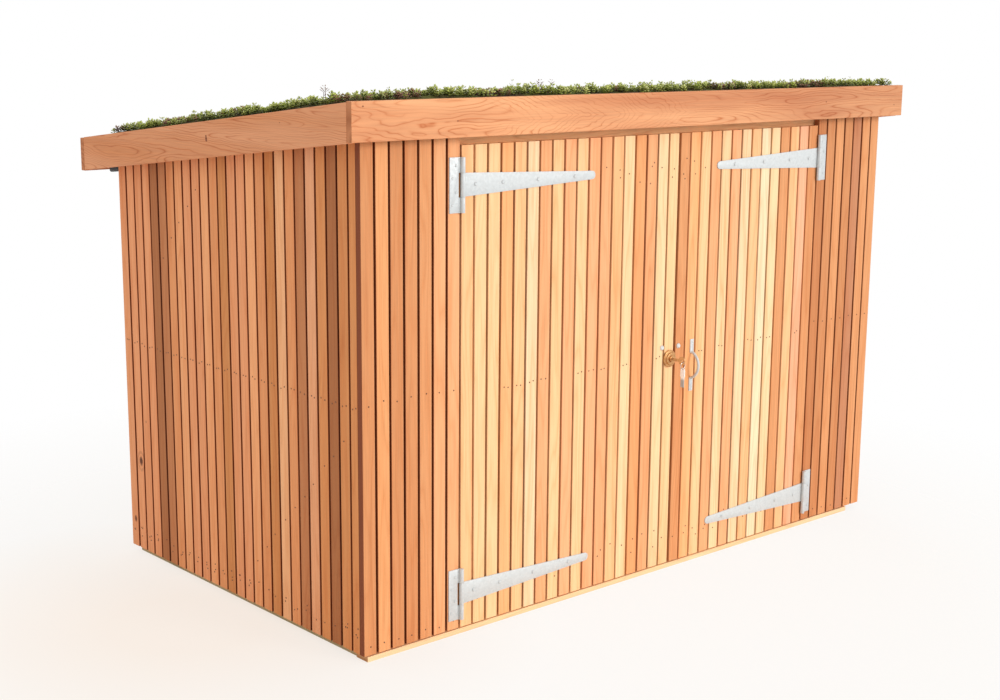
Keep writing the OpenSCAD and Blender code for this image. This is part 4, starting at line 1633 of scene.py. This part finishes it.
@dataclass
class Ironwork:
    """The strap hinges, their screws and bolts, and the pull handle."""

    palette: Palette
    heads: HeadTree
    slot: str = "galvanised_steel"
    ease: float = 0.0007
    thick: float = 0.003
    half_plate: float = 0.068
    pin_inset: float = 0.006
    plate_screw: float = 0.0036
    strap_bolt: float = 0.0052
    screw_rise: float = 0.0012
    bolt_rise: float = 0.0018
    screw_places: tuple[Pair, ...] = (
        (0.009, -0.048), (0.020, -0.017), (0.009, 0.017), (0.020, 0.048),
    )
    bolt_steps: tuple[float, ...] = (0.045, 0.135, 0.255, 0.385)
    handle_steps: tuple[float, ...] = (0.006, 0.015)
    handle_screw: float = 0.0028

    def build(self) -> None:
        """Builds the hinges and the handle."""
        for side, name in ((-1, "left"), (1, "right")):
            plates = Eased(f"{name}_hinge_plates", f"{name}_plates", "root", self.slot, self.ease, 2, True)
            plates.build(self.palette.galvanised)
            door = f"{name}_door"
            straps = Eased(f"{door}_straps", f"{name}_straps", door, self.slot, self.ease, 2, True)
            straps.build(self.palette.galvanised)
            self.fixings(side, name)
        bow = Eased("pull_handle", "handle_bow", "right_door", self.slot, 0.0008, 2, True)
        bow.build(self.palette.galvanised)
        self.handle_screws()

    def fixings(self, side: int, name: str) -> None:
        """Adds the screws in one side's plates and the bolts in its straps.

        Args:
            side: -1 for the left hinges and 1 for the right ones.
            name: left or right.
        """
        low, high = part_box(f"{name}_hinge_plates")
        strap_low, strap_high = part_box(f"{name}_door_straps")
        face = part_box("front_left_boards")[0].y - self.thick
        outer = low.x if side < 0 else high.x
        pin = (strap_low.x + self.pin_inset) if side < 0 else (strap_high.x - self.pin_inset)
        screws, bolts = [], []
        for middle in (low.z + self.half_plate, high.z - self.half_plate):
            for across, rise in self.screw_places:
                screws.append((outer - side * across, face - self.screw_rise / 2 + SUNK, middle + rise))
            for step in self.bolt_steps:
                bolts.append((pin - side * step, face - self.bolt_rise / 2 + SUNK, middle))
        for label, body, places, radius, rise, top, sides in (
            (f"screws_{name}_plates", "root", screws, self.plate_screw, self.screw_rise, 0.65, 12),
            (f"bolts_{name}_straps", f"{name}_door", bolts, self.strap_bolt, self.bolt_rise, 0.6, 14),
        ):
            heads = Heads(label, body, self.slot, FRONTWARD, places, radius, rise, top, sides)
            heads.build(self.heads, self.palette.galvanised)

    def handle_screws(self) -> None:
        """Adds two screws in each of the handle's feet."""
        low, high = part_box("pull_handle")
        middle = (low.x + high.x) / 2
        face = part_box("right_door_boards")[0].y - self.thick - self.screw_rise / 2 + SUNK
        spots = []
        for edge, way in ((low.z, 1), (high.z, -1)):
            spots += [(middle, face, edge + way * step) for step in self.handle_steps]
        placed = ("screws_handle", "right_door", self.slot, FRONTWARD, spots)
        Heads(*placed, self.handle_screw, self.screw_rise, 0.6, 12).build(self.heads, self.palette.bolt)


@dataclass
class Lock:
    """The lock's round plate and barrel, the key with its ring and spare, the case and the keep."""

    palette: Palette
    heads: HeadTree
    blade_share: float = 0.42
    bolt_radius: float = 0.0075
    bolt_rise: float = 0.0034
    bolt_out: float = 0.0014
    bolts: tuple[tuple[str, float, float], ...] = (("left_door", 0.036, 0.660), ("right_door", 0.104, 0.658))

    def build(self) -> None:
        """Builds the lock and its coach bolts."""
        low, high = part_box("spare_key")
        split = low.z + (high.z - low.z) * self.blade_share
        brass, key_brass, dark = self.palette.brass, self.palette.key_brass, self.palette.dark_steel
        parts = (
            ("lock_rose", "lock_plate_round", brass, 0.0016, 3, "brass", "left_door"),
            ("lock_barrel", "lock_cylinder", brass, 0.0008, 2, "brass", "left_door"),
            ("key", "key_in_lock", key_brass, 0.0004, 2, "brass", "left_door"),
            ("spare_key", "key_hanging", KeySteel(split).make(), 0.0004, 2, "bright_steel", "left_door"),
            ("lock_case", "lock_box", dark, 0.0016, 2, "dark_steel", "left_door"),
            ("lock_keep", "lock_keep_box", dark, 0.0016, 2, "dark_steel", "right_door"),
        )
        for node, name, material, ease, segments, slot, body in parts:
            Eased(node, name, body, slot, ease, segments, True).build(material)
        dress("key_ring", self.palette.bright_steel)
        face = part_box("left_door_boards")[0].y - self.bolt_out
        for body, x, z in self.bolts:
            placed = (f"bolt_{body}", body, "galvanised_steel", FRONTWARD, [(x, face, z)])
            bolt = Heads(*placed, self.bolt_radius, self.bolt_rise, 0.6, 18)
            bolt.build(self.heads, self.palette.bolt)


@dataclass
class Base:
    """The bearers, the floor and the pale strip under the front boards."""

    palette: Palette

    def build(self) -> None:
        """Dresses the base."""
        strip = Eased("front_threshold", "threshold_strip", "root", "cedar_pale", 0.0012)
        strip.build(self.palette.threshold)
        Eased("base_bearers", "bearers_sawn", "root", "treated_timber", 0.002).build(self.palette.treated)
        dress("floor_deck", self.palette.sheet_timber)


@dataclass
class Frames:
    """The timbers inside the walls and doors."""

    palette: Palette
    stud: float = 0.045
    wall_rail: float = 0.645
    door_rail: float = 0.634
    braces: tuple[str, ...] = ("left_wall_braces", "right_wall_braces")
    side_frames: tuple[str, ...] = ("left_wall_frame", "right_wall_frame")
    cross_frames: tuple[str, ...] = ("back_wall_frame", "front_left_frame", "front_right_frame")
    door_frames: tuple[str, ...] = ("left_door_frame", "right_door_frame")

    def timber(self, node: str, level: Axis, middle: float, inset: float, top: bool) -> None:
        """Dresses a frame in sawn timber whose rails are grained along themselves.

        Args:
            node: The frame's CAD node.
            level: The direction in which its rails run.
            middle: Height of its middle rail.
            inset: How far its rails stop short of its ends, where uprights run past them.
            top: Whether it has a level top rail.
        """
        low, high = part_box(node)
        step = 0 if level is Axis.X else 1
        start, stop = low[step] + inset, high[step] - inset
        half = self.stud / 2
        heights = [low.z + half, middle] + ([high.z - half] if top else [])
        rails = tuple((start, stop, height - half, height + half) for height in heights)
        finish = SawnTimber(f"cedar_sawn_{node}", *SAWN_CEDAR, Axis.Z, level=level, rails=rails)
        dress(node, finish.make())

    def build(self) -> None:
        """Dresses the frames and makes the rail over the doors."""
        for node in self.braces:
            dress(node, self.palette.sawn_upright)
        for node in self.side_frames:
            self.timber(node, Axis.Y, self.wall_rail, 0.0, False)
        for node in self.cross_frames:
            self.timber(node, Axis.X, self.wall_rail, 0.0, True)
        for node in self.door_frames:
            self.timber(node, Axis.X, self.door_rail, self.stud, True)
        rail = Eased("front_head_rail", "rail_over_doors", "root", "cedar_frame", 0.0015)
        rail.build(self.palette.header)


# Studio --------------------------------------------------------------------------------------------


@dataclass
class Studio:
    """The floor, the soft lights, the white surroundings and the camera."""

    sky_level: float = 0.82
    key_level: float = 1.42
    key_spread: float = 22.0
    key_from: Place = (0.9, -2.6, 0.80)
    floor_half: float = 9.0
    camera_at: Place = (-3.1927, -3.5103, 1.5349)
    camera_turn: float = 41.743
    camera_dip: float = 11.52
    camera_roll: float = 0.4834
    lens: float = 56.86

    def floor(self) -> None:
        """Lays the floor."""
        h = self.floor_half
        mesh = bpy.data.meshes.new("floor")
        mesh.from_pydata([(-h, -h, 0), (h, -h, 0), (h, h, 0), (-h, h, 0)], [], [(0, 1, 2, 3)])
        mesh.materials.append(StudioFloor().make())
        new_object("floor", mesh)

    def surroundings(self) -> None:
        """Makes the surroundings white to the camera and in reflections, and softer as light."""
        world = bpy.data.worlds.new("studio")
        bpy.context.scene.world = world
        world.use_nodes = True
        tree = Tree(world.node_tree)
        path = tree.add("ShaderNodeLightPath").outputs
        seen = tree.math("MAXIMUM", path["Is Camera Ray"], path["Is Glossy Ray"])
        seen = tree.math("MAXIMUM", seen, path["Is Transmission Ray"])
        level = tree.remap(seen, 0.0, 1.0, self.sky_level, 1.0)
        back = world.node_tree.nodes["Background"]
        tree.feed(back.inputs["Color"], (1.0, 1.0, 1.0, 1.0))
        tree.feed(back.inputs["Strength"], level)

    def lights(self) -> None:
        """Sets one large soft key light from the front."""
        light = bpy.data.lights.new("key", "SUN")
        light.energy = self.key_level
        light.angle = math.radians(self.key_spread)
        lamp = bpy.data.objects.new("key", light)
        bpy.context.scene.collection.objects.link(lamp)
        lamp.rotation_euler = Vector(self.key_from).to_track_quat("Z", "Y").to_euler()

    def camera(self) -> None:
        """Sets the camera."""
        data = bpy.data.cameras.new("camera")
        data.lens = self.lens
        data.sensor_width = 36.0
        camera = bpy.data.objects.new("camera", data)
        bpy.context.scene.collection.objects.link(camera)
        turn = Matrix.Rotation(math.radians(-self.camera_turn), 4, "Z")
        dip = Matrix.Rotation(math.radians(90 - self.camera_dip), 4, "X")
        roll = Matrix.Rotation(math.radians(self.camera_roll), 4, "Z")
        camera.matrix_world = Matrix.Translation(self.camera_at) @ turn @ dip @ roll
        bpy.context.scene.camera = camera

    def build(self) -> None:
        """Sets up the studio."""
        self.camera()
        self.floor()
        self.surroundings()
        self.lights()
        bpy.context.scene.view_settings.view_transform = "Standard"


def main() -> None:
    """Builds the studio and the shelter's parts in order."""
    logging.basicConfig(level=logging.INFO, format="%(message)s")
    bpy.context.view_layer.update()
    Studio().build()
    palette = Palette()
    heads = HeadTree()
    Base(palette).build()
    Frames(palette).build()
    BoardWalls(BoardTree(), heads, palette).build()
    RoofEdge(palette).build()
    Planting(palette).build()
    Ironwork(palette, heads).build()
    Lock(palette, heads).build()


if __name__ == "__main__":
    main()
